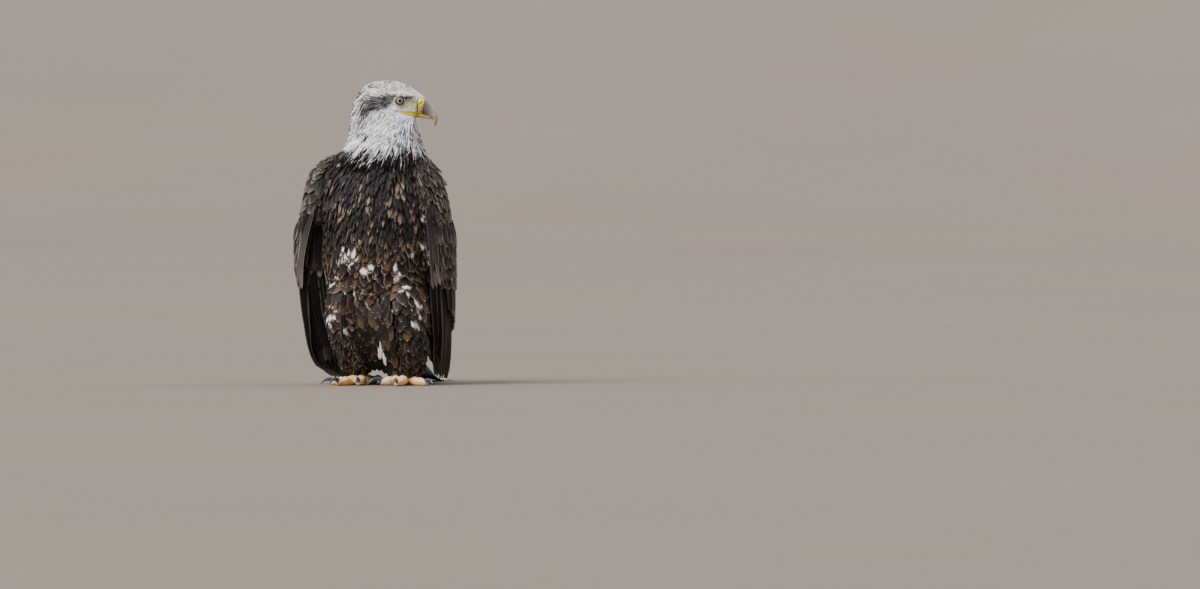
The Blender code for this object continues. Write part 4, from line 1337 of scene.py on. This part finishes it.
def lay_alula(face, stack, chance):
    """The small stiff feathers of the thumb, along the wing's front edge."""
    # Painted sheen: each strip is grey, some lighter and some darker, for the sky's reflection on the dark
    # feathers.
    for step, sheen_share in enumerate(ALULA_SHEEN_SHARES):
        share = step / (ALULA - 1)
        look = feather_look(chance, FLIGHT_SHEEN_GREY * sheen_share, FRINGE, 0.5, 0.0, 0.0, 0.2, 0.3)
        low = 0.180 + 0.016 * share + chance.uniform(-0.004, 0.004)
        lay_feather(stack, face.spot, (0.004 + 0.030 * share, 0.340 - 0.008 * share),
                    (0.005 + 0.135 * share, low), 0.0105, 0.0052 - 0.0009 * step, look, chance,
                    rows=16, outer=0.8, tip=0.14)


def lay_lining(face, stack, chance):
    """The curtain inside the wing, painted dark as its shade: long feathers, then short ones over their
    roots.
    """
    # Painted shade: the curtain takes the flight feathers' dark made darker still, for the shade inside the
    # folded wing.
    for step in range(LINING_LONG):
        share = step / (LINING_LONG - 1)
        look = feather_look(chance, FLIGHT_DARK * 0.55, FLIGHT_BROWN * 0.6, 0.30, 0.3, 0.0, 0.2, 0.5)
        low = 0.075 - 0.055 * share + chance.uniform(0, 0.012)
        lay_feather(stack, face.inside_spot, (share, 0.310), (share * 0.9 + 0.05, low), 0.019,
                    0.0006 * (step % 2) + 0.0008 * share, look, chance, rows=18, outer=0.9, tip=0.12)
    for step in range(LINING_SHORT):
        share = step / (LINING_SHORT - 1)
        look = feather_look(chance, FLIGHT_DARK * 0.7, FLIGHT_BROWN * 0.8, 0.7, 0.4)
        low = 0.205 + chance.uniform(-0.02, 0.02)
        lay_feather(stack, face.inside_spot, (share, 0.345), (share, low), 0.017,
                    0.0030 + 0.0006 * (step % 2), look, chance, rows=12, outer=0.9, tip=0.25)


lay_wing("left", 21)
lay_wing("right", 22)

# %% [markdown]
# ## The tail
# Twelve tail feathers fan out from under the coverts, the middle pair on top and each pair
# a little above the next one out. The tail lies back on the floor, and no feather may sink
# into it. They are laid with the same tool, on a face found by rays cast down.

# %% Lay the tail feathers
tail_face = BVHTree.FromBMesh(merged("tail_feathers", "tail_coverts"))
tail_box = [np.array(v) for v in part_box("tail_feathers")]
tail_half = (tail_box[1][0] - tail_box[0][0]) / 2
tail_middle = (tail_box[1][0] + tail_box[0][0]) / 2
TAIL_ORDER = (5, -5, 4, -4, 3, -3, 2, -2, 1, -1, 0.35, -0.35)
TAIL_OUTERMOST = 5
TAIL_SPREAD = 0.80
TAIL_WHITE = tone(236, 238, 242)
TAIL_BROWN = tone(112, 96, 86)


def tail_spot(part, back):
    """A place on the tail: part -1 to 1 from side to side, and the distance back."""
    x = tail_middle + part * tail_half
    place, normal, _, _ = tail_face.ray_cast(Vector((x, back, 0.4)), Vector((0, 0, -1)))
    if place is None:
        place, normal, _, _ = tail_face.find_nearest(Vector((x, back, 0.01)))
        place = Vector((x, back, place.z))
    return np.array(place), np.array((normal + Vector((0, 0, 2))).normalized())


def lay_tail():
    stack, chance = FeatherStack(), np.random.default_rng(31)
    root, end = tail_box[0][1] - 0.045, tail_box[1][1]
    for step in TAIL_ORDER:
        part = step / TAIL_OUTERMOST * TAIL_SPREAD
        look = feather_look(chance, TAIL_WHITE, TAIL_BROWN, 0.12, 0.30, 0.0, 0.55)
        lay_feather(stack, tail_spot, (part * 0.35, root), (part, end - 0.004 - 0.010 * abs(part)), 0.036,
                    -0.0008 - 0.0058 * abs(part), look, chance, rows=20, outer=1.0, tilt=0.0, tip=0.12,
                    floor=0.0004 + 0.0007 * (TAIL_OUTERMOST - abs(step)))
    return stack.piece("tail_vanes", flight)


tail_vanes = lay_tail()

# %% [markdown]
# ## Feathers between the thighs
# The solids leave an open arch between the legs, as the bones do. On a live bird the loose
# feathers of the belly and vent hang over it and leave only a small dark gap with a white
# tuft. Nine rows are laid on the sheet, each over the next lower one, and the lower rows are
# painted nearer to black, as shade under the belly.

# %% Lay the vent feathers
VENT_ROWS, VENT_FEATHERS = 9, 9
VENT_FOOT, VENT_STEP = 0.020, 0.0142


def lay_vent():
    stack, chance = FeatherStack(), np.random.default_rng(41)
    for level in range(VENT_ROWS):
        tip = VENT_FOOT + VENT_STEP * level
        for step in range(VENT_FEATHERS):
            part = (step + 0.5 * (level % 2)) / 4.25 - 1
            low = tip + (0.012 * (1 - abs(part)) if level else 0.0) + chance.uniform(-0.007, 0.007)
            tuft = abs(part - 0.40) < 0.15 and level in (1, 2)
            main = WHITE
            # Painted shade: the lowest row is near black and higher rows may reach umber, as shade under the
            # belly.
            if not tuft:
                main = NEAR_BLACK + (UMBER - NEAR_BLACK) * chance.uniform(0, min(level / 4, 1))
            look = feather_look(chance, main, RUST, 0.5 * (level > 0), 0.04 * level, 0.03 * (level > 4), 0.1)
            root = low + (0.052 if level == 0 else 0.038)
            width = 0.016 if tuft else chance.uniform(0.018, 0.022)
            lay_feather(stack, vent_spot, (part * 0.96, root), (part, low), width,
                        0.0007 * level - 0.002 + 0.0006 * (step % 2), look, chance,
                        rows=9, outer=1.0, tip=0.5, tilt=chance.uniform(-0.001, 0.001))
    return stack.piece("vent_vanes", plumage)


vent_vanes = lay_vent()

# %% [markdown]
# ## Eyes and lids
# The eye is one globe with a dark pupil, a pale iris with fine flecks and a bright glaze.
# Behind the opening the globe gets smaller, so that it stays inside the narrow head. The lids
# are rings that lie on the globe and sink into the skin, dark at the rim and pale outside.
# The upper lid is drawn lower at the front, under the brow, which gives the stare. Both eyes
# come from one function with the side as its only difference.

# %% Make the eyes
GAZE_AHEAD = 0.26
PUPIL, IRIS = 0.250, 0.53
CORNEA, CORNEA_END = 0.045, 0.72
EYE_BLACK = tone(12, 11, 12)


def sculpted(name, points, faces, **values):
    """A closed piece whose faces are turned outwards, with values on its points."""
    mesh = mesh_of(name, points, faces)
    for label, value in values.items():
        write_layer(mesh, label, value)
    turn_outwards(mesh)
    return object_of(name, mesh)


def eye_frame(side):
    """The centre of an eye, its gaze, and the forward and upward directions round it."""
    gaze = head_side * side_sign(side) + head_forward * GAZE_AHEAD
    gaze /= np.linalg.norm(gaze)
    ahead = head_forward - gaze * (head_forward @ gaze)
    ahead /= np.linalg.norm(ahead)
    return middle(f"eye_{side}"), gaze, ahead, UP


def make_globe(side):
    centre, gaze, ahead, above = eye_frame(side)
    points, angles, rings, spokes = [], [], 44, 64
    for ring in range(rings):
        angle = math.pi * ((ring + 0.5) / rings) ** 1.25
        bulge = 1 + CORNEA * max(0.0, 1 - (angle / CORNEA_END) ** 2) - 0.35 * ramp(angle, 0.62, 1.5)
        for spoke in range(spokes):
            turn = math.tau * spoke / spokes
            side_way = ahead * math.cos(turn) + above * math.sin(turn)
            points.append(centre + eye_radius * bulge * (gaze * math.cos(angle) + side_way * math.sin(angle)))
            angles.append(angle)
    return sculpted(f"globe_{side}", points, tube_faces(rings, spokes), angle=angles)


def eye_finish():
    material, tree, shader = material_tree("eye")
    angle = stored_value(tree, "angle")
    iris = tree.node("ShaderNodeValToRGB", {"stops": (
        (0.0, tone(104, 88, 66)), (0.25, tone(182, 168, 128)), (0.70, tone(160, 140, 98)),
        (1.0, tone(84, 66, 44)))}, {0: (angle - PUPIL) / (IRIS - PUPIL)})
    iris = iris.mix(tone(92, 76, 56), noise(tree, 900.0, 3.0).step(0.52, 0.75) * 0.45)
    colour = iris.mix(EYE_BLACK, 1 - angle.step(PUPIL - 0.015, PUPIL + 0.02))
    colour = colour.mix(tone(22, 18, 18), angle.step(IRIS - 0.02, IRIS + 0.04))
    feed(shader, "Base Color", colour)
    feed(shader, "Roughness", 0.25)
    feed(shader, "Specular IOR Level", 0.2)
    feed(shader, "Coat Weight", 0.45)
    feed(shader, "Coat Roughness", 0.03)
    return material


# %% Make the lids and the waxy finish
LID_OPENING, LID_DROP = 0.0067, 0.0013
LID_WIDTH, LID_THICK = 0.0044, 0.0016
LID_ON_GLOBE = 1.055
skin_tree = BVHTree.FromPolygons([tuple(p) for p in body.points],
                                 [tuple(t) for t in body.triangles.tolist()])


def make_lids(side):
    """A ring round the eye: its inner rim lies on the globe and its outer rim is in the skin."""
    centre, gaze, ahead, above = eye_frame(side)
    spokes, rows = 72, 12
    points, rims = [], []
    for row in range(rows):
        share = row / (rows - 1)
        for spoke in range(spokes):
            turn = math.tau * spoke / spokes
            lower = max(math.sin(turn + 0.35), 0.0)
            opening = LID_OPENING * (1 + 0.06 * math.cos(2 * turn)) - LID_DROP * lower
            reach = opening + LID_WIDTH * share
            rise = math.sqrt(max((eye_radius * LID_ON_GLOBE) ** 2 - reach ** 2, 0.0))
            swell = 0.0009 * math.sin(math.pi * min(share * 1.6, 1.0)) * (1 + 0.5 * lower)
            point = centre + (ahead * math.cos(turn) + above * math.sin(turn)) * reach + gaze * (rise + swell)
            near, facing, _, _ = skin_tree.find_nearest(Vector(point))
            sunk = np.array(near) - np.array(facing) * 0.0006
            blend = ramp(share, 0.55, 1.0)
            points.append(point * (1 - blend) + sunk * blend)
            rims.append(share)
    under = [p - gaze * LID_THICK for p in points]
    count = rows * spokes
    faces = grid_faces(rows, spokes) + grid_faces(rows, spokes, start=count)
    for row in (0, rows - 1):
        for spoke in range(spokes):
            a, b = row * spokes + spoke, row * spokes + (spoke + 1) % spokes
            faces.append((a, b, b + count, a + count))
    return sculpted(f"lids_{side}", points + under, faces, rim=rims + rims)


OLIVE = tone(172, 164, 122)


def two_tones(tree, first, second, share):
    ends = {0: share, 6: (*first, 1), 7: (*second, 1)}
    return tree.node("ShaderNodeMix", {"data_type": "RGBA"}, ends, 2)


def soft_finish(name, deep, bright, liner_and_shade_tone, roughness, rim_ends=(0.12, 0.42)):
    """Waxy bare skin: dark where the stored rim is low, and olive where the stored fade is high."""
    material, tree, shader = material_tree(name)
    place = tree.node("ShaderNodeTexCoord", output=3)
    cloud = noise(tree, 170.0, 4.0)
    pores = tree.node("ShaderNodeTexVoronoi", None, {"Vector": place, "Scale": 1100.0})
    colour = two_tones(tree, deep, bright, cloud.step(0.3, 0.7))
    colour = colour.mix(OLIVE, stored_value(tree, "fade") * 0.75)
    # The dark tone is the real rim of the lids, and painted shade under the brow, in the nostril slit and in
    # the gape's groove.
    colour = colour.mix(liner_and_shade_tone, 1 - stored_value(tree, "rim").step(*rim_ends))
    feed(shader, "Base Color", colour)
    feed(shader, "Roughness", roughness + cloud * 0.12)
    feed(shader, "Subsurface Weight", 0.12)
    feed(shader, "Subsurface Radius", (0.004, 0.002, 0.001))
    feed_relief(shader, pores + cloud * 1.5, 0.4, 0.0005)
    return material


eye_glaze = eye_finish()
lid_skin = soft_finish("lid_skin", tone(160, 157, 150), tone(204, 202, 194), tone(14, 11, 11),
                       0.6, (0.42, 0.56))
eyes, lids = {}, {}
for side in ("left", "right"):
    eyes[side], lids[side] = make_globe(side), make_lids(side)
    eyes[side].data.materials.append(eye_glaze)
    lids[side].data.materials.append(lid_skin)
    print(side, "eye:", count_triangles(eyes[side]), "triangles, lids:", count_triangles(lids[side]))

# %% Make the brows
BROW_PATH = ((-0.0150, 0.0058), (-0.0060, 0.0086), (0.0040, 0.0090), (0.0150, 0.0070), (0.0300, 0.0038))
BROW_OUT, BROW_SUNK = 0.0098, 0.0012
BROW_TALL, BROW_THICK = 0.0021, 0.0024
BESIDE_HEAD = 0.06


def from_the_side(tree, ahead, above, out_way):
    """Where a ray from beside the head meets a surface: how far out it is, or None."""
    origin = brow_centre + head_forward * ahead + UP * above + head_side * out_way * BESIDE_HEAD
    place = tree.ray_cast(Vector(origin), Vector(-head_side * out_way))[0]
    return (np.array(place) - brow_centre) @ head_side * out_way if place else None


def make_brow(side):
    """The ridge that overhangs the front of the eye, sunk into the skin at both ends, dark beneath: partly
    bristles, partly painted shade.
    """
    out_way, rows, spokes = side_sign(side), 28, 14
    eye_out = abs((middle(f"eye_{side}") - brow_centre) @ head_side)
    points, rims = [], []
    for row in range(rows):
        share = row / (rows - 1)
        ahead, above = (np.interp(share * 4, range(5), [p[i] for p in BROW_PATH]) for i in (0, 1))
        body_of_ridge = math.sin(math.pi * min(max(share, 0.02), 0.98)) ** 0.6
        reach = from_the_side(skin_tree, ahead, above, out_way)
        skin_out = eye_out if reach is None else reach
        over_eye = ramp(share, 0.10, 0.32) * (1 - ramp(share, 0.60, 0.85))
        depth = max(skin_out * (1 - over_eye) + (eye_out + BROW_OUT) * over_eye, skin_out) - BROW_SUNK
        centre = brow_centre + head_forward * ahead + UP * above + head_side * out_way * depth
        for spoke in range(spokes):
            turn = math.tau * spoke / spokes
            points.append(centre + UP * (math.cos(turn) * BROW_TALL + 0.0004) * body_of_ridge
                          + head_side * out_way * math.sin(turn) * BROW_THICK * body_of_ridge)
            # The underside of the ridge takes the dark tone: partly dark bristles, partly painted shade under
            # the overhang.
            rims.append(ramp(math.cos(turn), -0.6, 0.3))
    piece = sculpted(f"brow_{side}", points, tube_faces(rows, spokes), rim=rims)
    piece.data.materials.append(brow_skin)
    return piece


# The dark tone of the brow's underside is partly its bristles and partly painted shade.
brow_skin = soft_finish("brow_skin", tone(70, 66, 64), tone(228, 226, 222), tone(24, 20, 20),
                        0.6, (0.30, 0.80))
brows = [make_brow(side) for side in ("left", "right")]
print("brows:", count_triangles(brows[0]), "triangles each")

# %% [markdown]
# ## Bill, cere and gape
# The horn of the bill is smooth, dark near the cere, pale in the middle and brown at the hook.
# The cere is soft yellow skin with a slanting nostril slit, and the gape is a fleshy yellow fold
# that runs back from the bill to a corner under the eye. The solids have the right shape but
# flat faces, so each is fused again with a fine voxel and smoothed, which keeps its outline.
# On the bird short feathers grow over the top of the cere and over the outer part of the
# lids, so down is grown there too, on the pieces themselves.

# %% Make the bill
FINE_GROW, FINE_VOXEL = 0.0002, 0.00075
NOSTRIL = (0.0410, -0.0050)
NOSTRIL_LINE = (0.0023, 0.0021)
CERE_YELLOW = (tone(228, 188, 28), tone(246, 220, 66))


def fine_copy(name, node, rounds, lift=0.0):
    """A smooth copy of a solid, set back a little into the face, as the feathers' edge needs."""
    piece = fused(name, (node,), FINE_GROW, FINE_VOXEL)
    shape = Surface(piece)
    shape.smooth(rounds)
    shape.points = shape.points - head_forward * SET_BACK + UP * lift
    return piece, shape


def horn_finish():
    material, tree, shader = material_tree("bill_horn")
    along, edge = stored_value(tree, "along"), stored_value(tree, "edge")
    cloud, grain = noise(tree, 120.0, 5.0), noise(tree, 620.0, 3.0)
    colour = tree.node("ShaderNodeValToRGB", {"stops": (
        (0.0, tone(64, 64, 70)), (0.26, tone(104, 98, 100)), (0.50, tone(176, 154, 146)),
        (0.80, tone(170, 140, 112)), (1.0, tone(98, 80, 64)))}, {0: along + (cloud - 0.5) * 0.25})
    colour = colour.mix(tone(186, 150, 70), edge * (1 - along.step(0.35, 0.75)) * 0.8)
    colour = colour.mix(tone(64, 58, 58), grain.step(0.58, 0.8) * 0.35)
    feed(shader, "Base Color", colour)
    feed(shader, "Roughness", 0.30 + cloud * 0.16)
    feed(shader, "Coat Weight", 0.25)
    feed(shader, "Coat Roughness", 0.2)
    feed_relief(shader, cloud + grain * 0.4, 0.25, 0.0004)
    return material


horn = horn_finish()
# The dark tone of the cere's wax is painted shade, in the nostril slit and in the gape's groove.
wax = soft_finish("cere_wax", *CERE_YELLOW, tone(40, 28, 14), 0.42)


def make_bill():
    upper, shape = fine_copy("bill_upper_horn", "bill_upper", 5)
    ahead, _, above = head_place(shape.points)
    start = ahead.min()
    along = (ahead - start) / (ahead.max() - start) * 0.62 + ramp(above, -0.020, -0.050) * 0.42
    edge = ramp(above - np.interp(ahead, [start, ahead.max()], [-0.0275, -0.0345]), 0.0055, 0.0015)
    shape.store(along=np.clip(along, 0, 1), edge=edge)
    lower, shape = fine_copy("bill_lower_horn", "bill_lower", 3, 0.0022)
    ahead, _, above = head_place(shape.points)
    shape.store(along=ramp(ahead, 0.030, 0.070) * 0.55, edge=1 - ramp(ahead, 0.046, 0.062) * 0.6)
    for piece in (upper, lower):
        shade_smooth(piece)
        piece.data.materials.append(horn)
    return upper, lower


def make_cere():
    piece, shape = fine_copy("cere_skin", "cere", 14)
    ahead, side, above = head_place(shape.points)
    rear = ramp(ahead, ahead.min() + 0.0065, ahead.min()) * (1 - ramp(above, 0.003, 0.007))
    swell = 0.0008 * ramp(above, -0.016, 0.000) - 0.0005 * ramp(above, -0.014, -0.024)
    sink = rear * 0.0022 - swell
    shape.points = shape.points - shape.outward(4) * sink[:, None] + head_forward * 0.0005
    start = (NOSTRIL[0] - NOSTRIL_LINE[0], NOSTRIL[1] - NOSTRIL_LINE[1])
    end = (NOSTRIL[0] + NOSTRIL_LINE[0], NOSTRIL[1] + NOSTRIL_LINE[1])
    on_flank = ramp(np.abs(side), 0.004, 0.008)
    slit = bump_along(ahead, above, start, end, 0.0013) * on_flank
    lip = bump_along(ahead, above, start, end, 0.0034) * on_flank
    shape.points = shape.points + ((lip * 0.0011 - slit * 0.0042) * np.sign(side))[:, None] * head_side
    low_fade = ramp(above, -0.006, -0.013) * ramp(above, -0.0235, -0.0190)
    # Painted shade: the nostril slit takes the dark tone, for the shade inside the opening.
    shape.store(rim=1 - slit, fade=np.maximum(low_fade, ramp(above, 0.003, 0.005)))
    shade_smooth(piece)
    piece.data.materials.append(wax)
    return piece


bill_pieces = make_bill()
cere_piece = make_cere()
print("bill:", [count_triangles(piece) for piece in bill_pieces], "cere:", count_triangles(cere_piece))

# %% Press the gape onto the cheeks
GAPE_AHEAD, GAPE_ABOVE = (-0.0050, 0.0300, 0.0570), (-0.0203, -0.0243, -0.0303)
GAPE_TALL, GAPE_THICK = 0.0056, 0.0030
GAPE_SUNK, LEAST_REACH = 0.0003, 0.004


def face_tree(piece):
    mesh = piece.data
    return BVHTree.FromPolygons([tuple(v.co) for v in mesh.vertices],
                                [tuple(p.vertices) for p in mesh.polygons])


face_trees = [skin_tree, face_tree(cere_piece), face_tree(bill_pieces[0])]


def make_gape(side):
    """The fold at the corner of the mouth: two lips along one line, pressed onto the cheek."""
    out_way, rows, spokes = side_sign(side), 60, 24
    line, depths = [], []
    for row in range(rows):
        share = row / (rows - 1)
        ahead = GAPE_AHEAD[0] + (GAPE_AHEAD[2] - GAPE_AHEAD[0]) * share
        above = np.interp(ahead, GAPE_AHEAD, GAPE_ABOVE) + 0.0006 * math.sin(math.pi * share)
        reaches = [from_the_side(tree, ahead, above, out_way) for tree in face_trees]
        line.append(brow_centre + head_forward * ahead + UP * above)
        depths.append(max([reach for reach in reaches if reach is not None] + [LEAST_REACH]))
    found = list(depths)
    for rounds in (25, 6):
        for _ in range(rounds):
            depths[1:-1] = [(a + 2 * b + c) / 4 for a, b, c in zip(depths, depths[1:], depths[2:])]
        depths = [max(soft, hard - GAPE_SUNK) for soft, hard in zip(depths, found)]
    points, rims = [], []
    for row, (place, depth) in enumerate(zip(line, depths)):
        share = row / (rows - 1)
        tall = GAPE_TALL * (0.10 + 0.90 * ramp(share, -0.1, 0.45)) * (1 - 0.80 * ramp(share, 0.60, 1.0))
        thick = GAPE_THICK * (0.25 + 0.75 * ramp(share, 0.0, 0.30)) * (1 - 0.75 * ramp(share, 0.65, 1.0))
        for spoke in range(spokes):
            turn = math.tau * spoke / spokes
            lift = math.cos(turn)
            groove = math.exp(-((lift - 0.02) / 0.16) ** 2) * (math.sin(turn) > 0)
            groove = groove * (1 - ramp(share, 0.70, 0.90))
            reach = depth - 0.0004 + math.sin(turn) * thick * (1 - 0.55 * groove)
            points.append(place + UP * lift * tall + head_side * out_way * reach)
            # Painted shade: the groove between the two lips takes the wax's dark tone, for the shade in the
            # crease.
            rims.append(1 - groove * 0.9)
    piece = sculpted(f"gape_{side}", points, tube_faces(rows, spokes), rim=rims)
    piece.data.materials.append(wax)
    return piece


gapes = [make_gape(side) for side in ("left", "right")]
print("gape:", count_triangles(gapes[0]), "triangles each")

# %% Grow down over the cere and the lids
DOWN_GAP, DOWN_RISE = 0.0010, 0.0009


def cover(piece, name, pull, length, where, seed):
    """A fuzz of down over part of a bare piece, with the markings that the head has there."""
    ground = object_of("ground", piece.data.copy())
    shape = Surface(ground)
    facing = shape.outward(3)
    lie = along_surface(pull, facing)
    empty = np.zeros_like(facing)
    main, other, odds, lines = head_values(shape.points, empty, empty, empty, empty)
    shape.store(lie=lie, out=facing, main=main, other=other, odds=odds, lines=lines)
    lengths = np.full(len(shape.points), length)
    coat = grow_coat(name, "down", DOWN_GAP, sizes(lengths * 0.36, lengths), DOWN_RISE,
                     where(shape.points, facing), 1.0, 0.25, 0.25, seed, ground)
    bpy.data.objects.remove(ground)
    return coat


def cere_top(places, _facing):
    ahead, _, above = head_place(places)
    return ramp(above + 0.10 * (0.044 - ahead), 0.0030, 0.0050)


coats.append(cover(cere_piece, "coat_forehead", UP * 0.35 - head_forward, 0.0036, cere_top, 11))
for number, side in enumerate(("left", "right")):
    centre, gaze, _, _ = eye_frame(side)
    places = np.array([v.co for v in lids[side].data.vertices]) - centre
    spread = unit(places - (places @ gaze)[:, None] * gaze)

    def lid_rim(places, facing):
        off = np.linalg.norm(np.cross(places - centre, gaze), axis=1)
        return ramp(off, LID_OPENING + 0.0022, LID_OPENING + 0.0028) * ramp(facing @ gaze, 0.0, 0.2)

    pull = spread * 0.9 - head_forward * 0.6
    coats.append(cover(lids[side], f"coat_lids_{side}", pull, 0.0024, lid_rim, 12 + number))

# %% [markdown]
# ## Feet and talons
# An eagle's toes are bare and yellow, with overlapping plates called scutes on top and fine
# round scales below. Each foot's solids are fused, and the plates are raised in the mesh with
# a sawtooth along each toe, so that they show in outline. The talons keep their solids' shape:
# each is fused again with a fine voxel, smoothed a little and given a finish of dark horn.

# %% Make the feet
FOOT_GROW, FOOT_VOXEL = 0.0004, 0.0012
TOE_SCUTE, SHANK_SCUTE = 0.0046, 0.0058
SCUTE_HEIGHT = 0.0007
SOLE = 0.0003
SCALES = 420.0
TOES = ("inner", "middle", "outer", "hind")


def plates(way, period):
    """A sawtooth from 0 to 1 that rises slowly along the way and drops at each plate's end."""
    part = way / period - np.floor(way / period)
    return part * (1 - ramp(part, 0.86, 1.0))


def make_foot(side):
    nodes = [f"tarsus_{side}"] + [f"toe_{side}_{toe}" for toe in TOES]
    piece = fused(f"foot_{side}", nodes, FOOT_GROW, FOOT_VOXEL)
    shape = Surface(piece)
    shape.smooth(5)
    near = closeness(shape.points, nodes, 0.0012)
    facing = shape.outward(2)
    raised = np.zeros(len(shape.points))
    ankle = middle(nodes[0])
    for number, toe in enumerate(TOES):
        reach = middle(f"claw_{side}_{toe}") - ankle
        reach[2] = 0.0
        reach /= np.linalg.norm(reach)
        along = (shape.points - ankle) @ reach
        raised += near[:, number + 1] * plates(along, TOE_SCUTE) * ramp(facing[:, 2], 0.15, 0.5)
    front_face = ramp(-facing[:, 1], 0.1, 0.5)
    raised += near[:, 0] * plates(-shape.points[:, 2], SHANK_SCUTE) * front_face
    shape.points = shape.points + facing * (raised * SCUTE_HEIGHT)[:, None]
    shape.points[:, 2] = np.maximum(shape.points[:, 2], SOLE)
    shape.store(raised=raised)
    shade_smooth(piece)
    piece.data.materials.append(scale_skin)
    print(piece.name, "has", count_triangles(piece), "triangles")
    return piece


def scale_finish():
    material, tree, shader = material_tree("scaly_skin")
    place = tree.node("ShaderNodeTexCoord", output=3)
    raised, cloud = stored_value(tree, "raised"), noise(tree, 60.0, 3.0)
    pattern = {"Vector": place, "Scale": SCALES}
    scales = tree.node("ShaderNodeTexVoronoi", {"feature": "DISTANCE_TO_EDGE"}, pattern)
    cells = tree.node("ShaderNodeTexVoronoi", None, pattern, 1)
    plate = raised.step(0.02, 0.12)
    seam = (1 - scales.step(0.0, 0.12)) * (1 - plate)
    colour = two_tones(tree, tone(216, 164, 98), tone(232, 196, 142), cloud.step(0.35, 0.65))
    colour = colour.mix(tone(242, 212, 162), plate * 0.45 * raised.step(0.1, 0.8))
    colour = colour.mix(tone(150, 108, 58), seam * 0.55)
    plate_end = raised.step(0.0, 0.02) * (1 - raised.step(0.02, 0.16))
    colour = colour.mix(tone(120, 86, 48), plate_end * 0.6)
    feed(shader, "Base Color", colour)
    feed(shader, "Roughness", 0.46 + cloud * 0.14)
    feed(shader, "Subsurface Weight", 0.08)
    feed(shader, "Subsurface Radius", (0.004, 0.002, 0.001))
    height = scales.step(0.0, 0.25) * (1 - plate) + cloud * 0.3 + cells.step(0, 1) * 0.1
    feed_relief(shader, height, 0.5, 0.0005)
    return material


def claw_finish():
    material, tree, shader = material_tree("talon_horn")
    cloud, streak = noise(tree, 150.0, 4.0), noise(tree, 700.0, 2.0)
    colour = two_tones(tree, tone(38, 42, 50), tone(78, 86, 98), cloud.step(0.3, 0.75))
    feed(shader, "Base Color", colour.mix(tone(112, 118, 124), streak.step(0.58, 0.8) * 0.3))
    feed(shader, "Roughness", 0.24 + cloud * 0.14)
    feed(shader, "Coat Weight", 0.3)
    feed(shader, "Coat Roughness", 0.15)
    feed_relief(shader, streak, 0.15, 0.0003)
    return material


scale_skin = scale_finish()
feet = {side: make_foot(side) for side in ("left", "right")}

# %% Make the talons
TALON_VOXEL = 0.0007
talon_horn = claw_finish()
talons = {}
for side in ("left", "right"):
    for toe in TOES:
        node = f"claw_{side}_{toe}"
        shape = merged(node)
        mesh = bpy.data.meshes.new(f"talon_{side}_{toe}")
        shape.to_mesh(mesh)
        piece = object_of(mesh.name, mesh)
        rounding = piece.modifiers.new("round", "REMESH")
        rounding.mode, rounding.voxel_size = "VOXEL", TALON_VOXEL
        baked(piece)
        shape = Surface(piece)
        shape.smooth(2)
        shape.store()
        shade_smooth(piece)
        piece.data.materials.append(talon_horn)
        talons[node] = piece
print("talons:", sum(count_triangles(piece) for piece in talons.values()), "triangles")

# %% [markdown]
# ## Say what rides where
# The bird has no joints, so every piece rides on the one body. Each piece also names the
# solids that it stands for, which stay hidden.

# %% Ride and replace


def settle(piece, slot, *nodes):
    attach(piece, "root")
    if nodes:
        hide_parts(*nodes)


settle(skin, "dark_plumage", *FLESH)
COAT_SLOTS = {f"coat_{name}": "white_plumage"
              for name in ("face", "crown", "neck", "forehead", "lids_left", "lids_right")}
COAT_SLOTS.update({"coat_wing_left": "wing_coverts", "coat_wing_right": "wing_coverts",
                   "coat_rump": "tail_plumage"})
for piece in coats:
    settle(piece, COAT_SLOTS.get(piece.name, "dark_plumage"))
for name, piece in flight_pieces.items():
    side, row = name.split("_", 1)
    stands_for = [f"wing_{side}_{row}"] if row in ("primaries", "secondaries") else []
    settle(piece, "flight_feathers" if stands_for or row == "lining" else "wing_coverts", *stands_for)
settle(vent_vanes, "dark_plumage")
settle(tail_vanes, "tail_plumage", "tail_feathers")
for side in ("left", "right"):
    settle(eyes[side], "eye", f"eye_{side}")
    settle(lids[side], "white_plumage")
    settle(feet[side], "yellow_scutes", f"tarsus_{side}", *(f"toe_{side}_{toe}" for toe in TOES))
for node, piece in talons.items():
    settle(piece, "claw", node)
settle(bill_pieces[0], "horn", "bill_upper")
settle(bill_pieces[1], "horn", "bill_lower")
settle(cere_piece, "yellow_cere", "cere")
for piece in gapes:
    settle(piece, "yellow_cere")
for piece in brows:
    settle(piece, "white_plumage")
for collection in vane_sets.values():
    for vane in list(collection.objects):
        bpy.data.objects.remove(vane)
    bpy.data.collections.remove(collection)
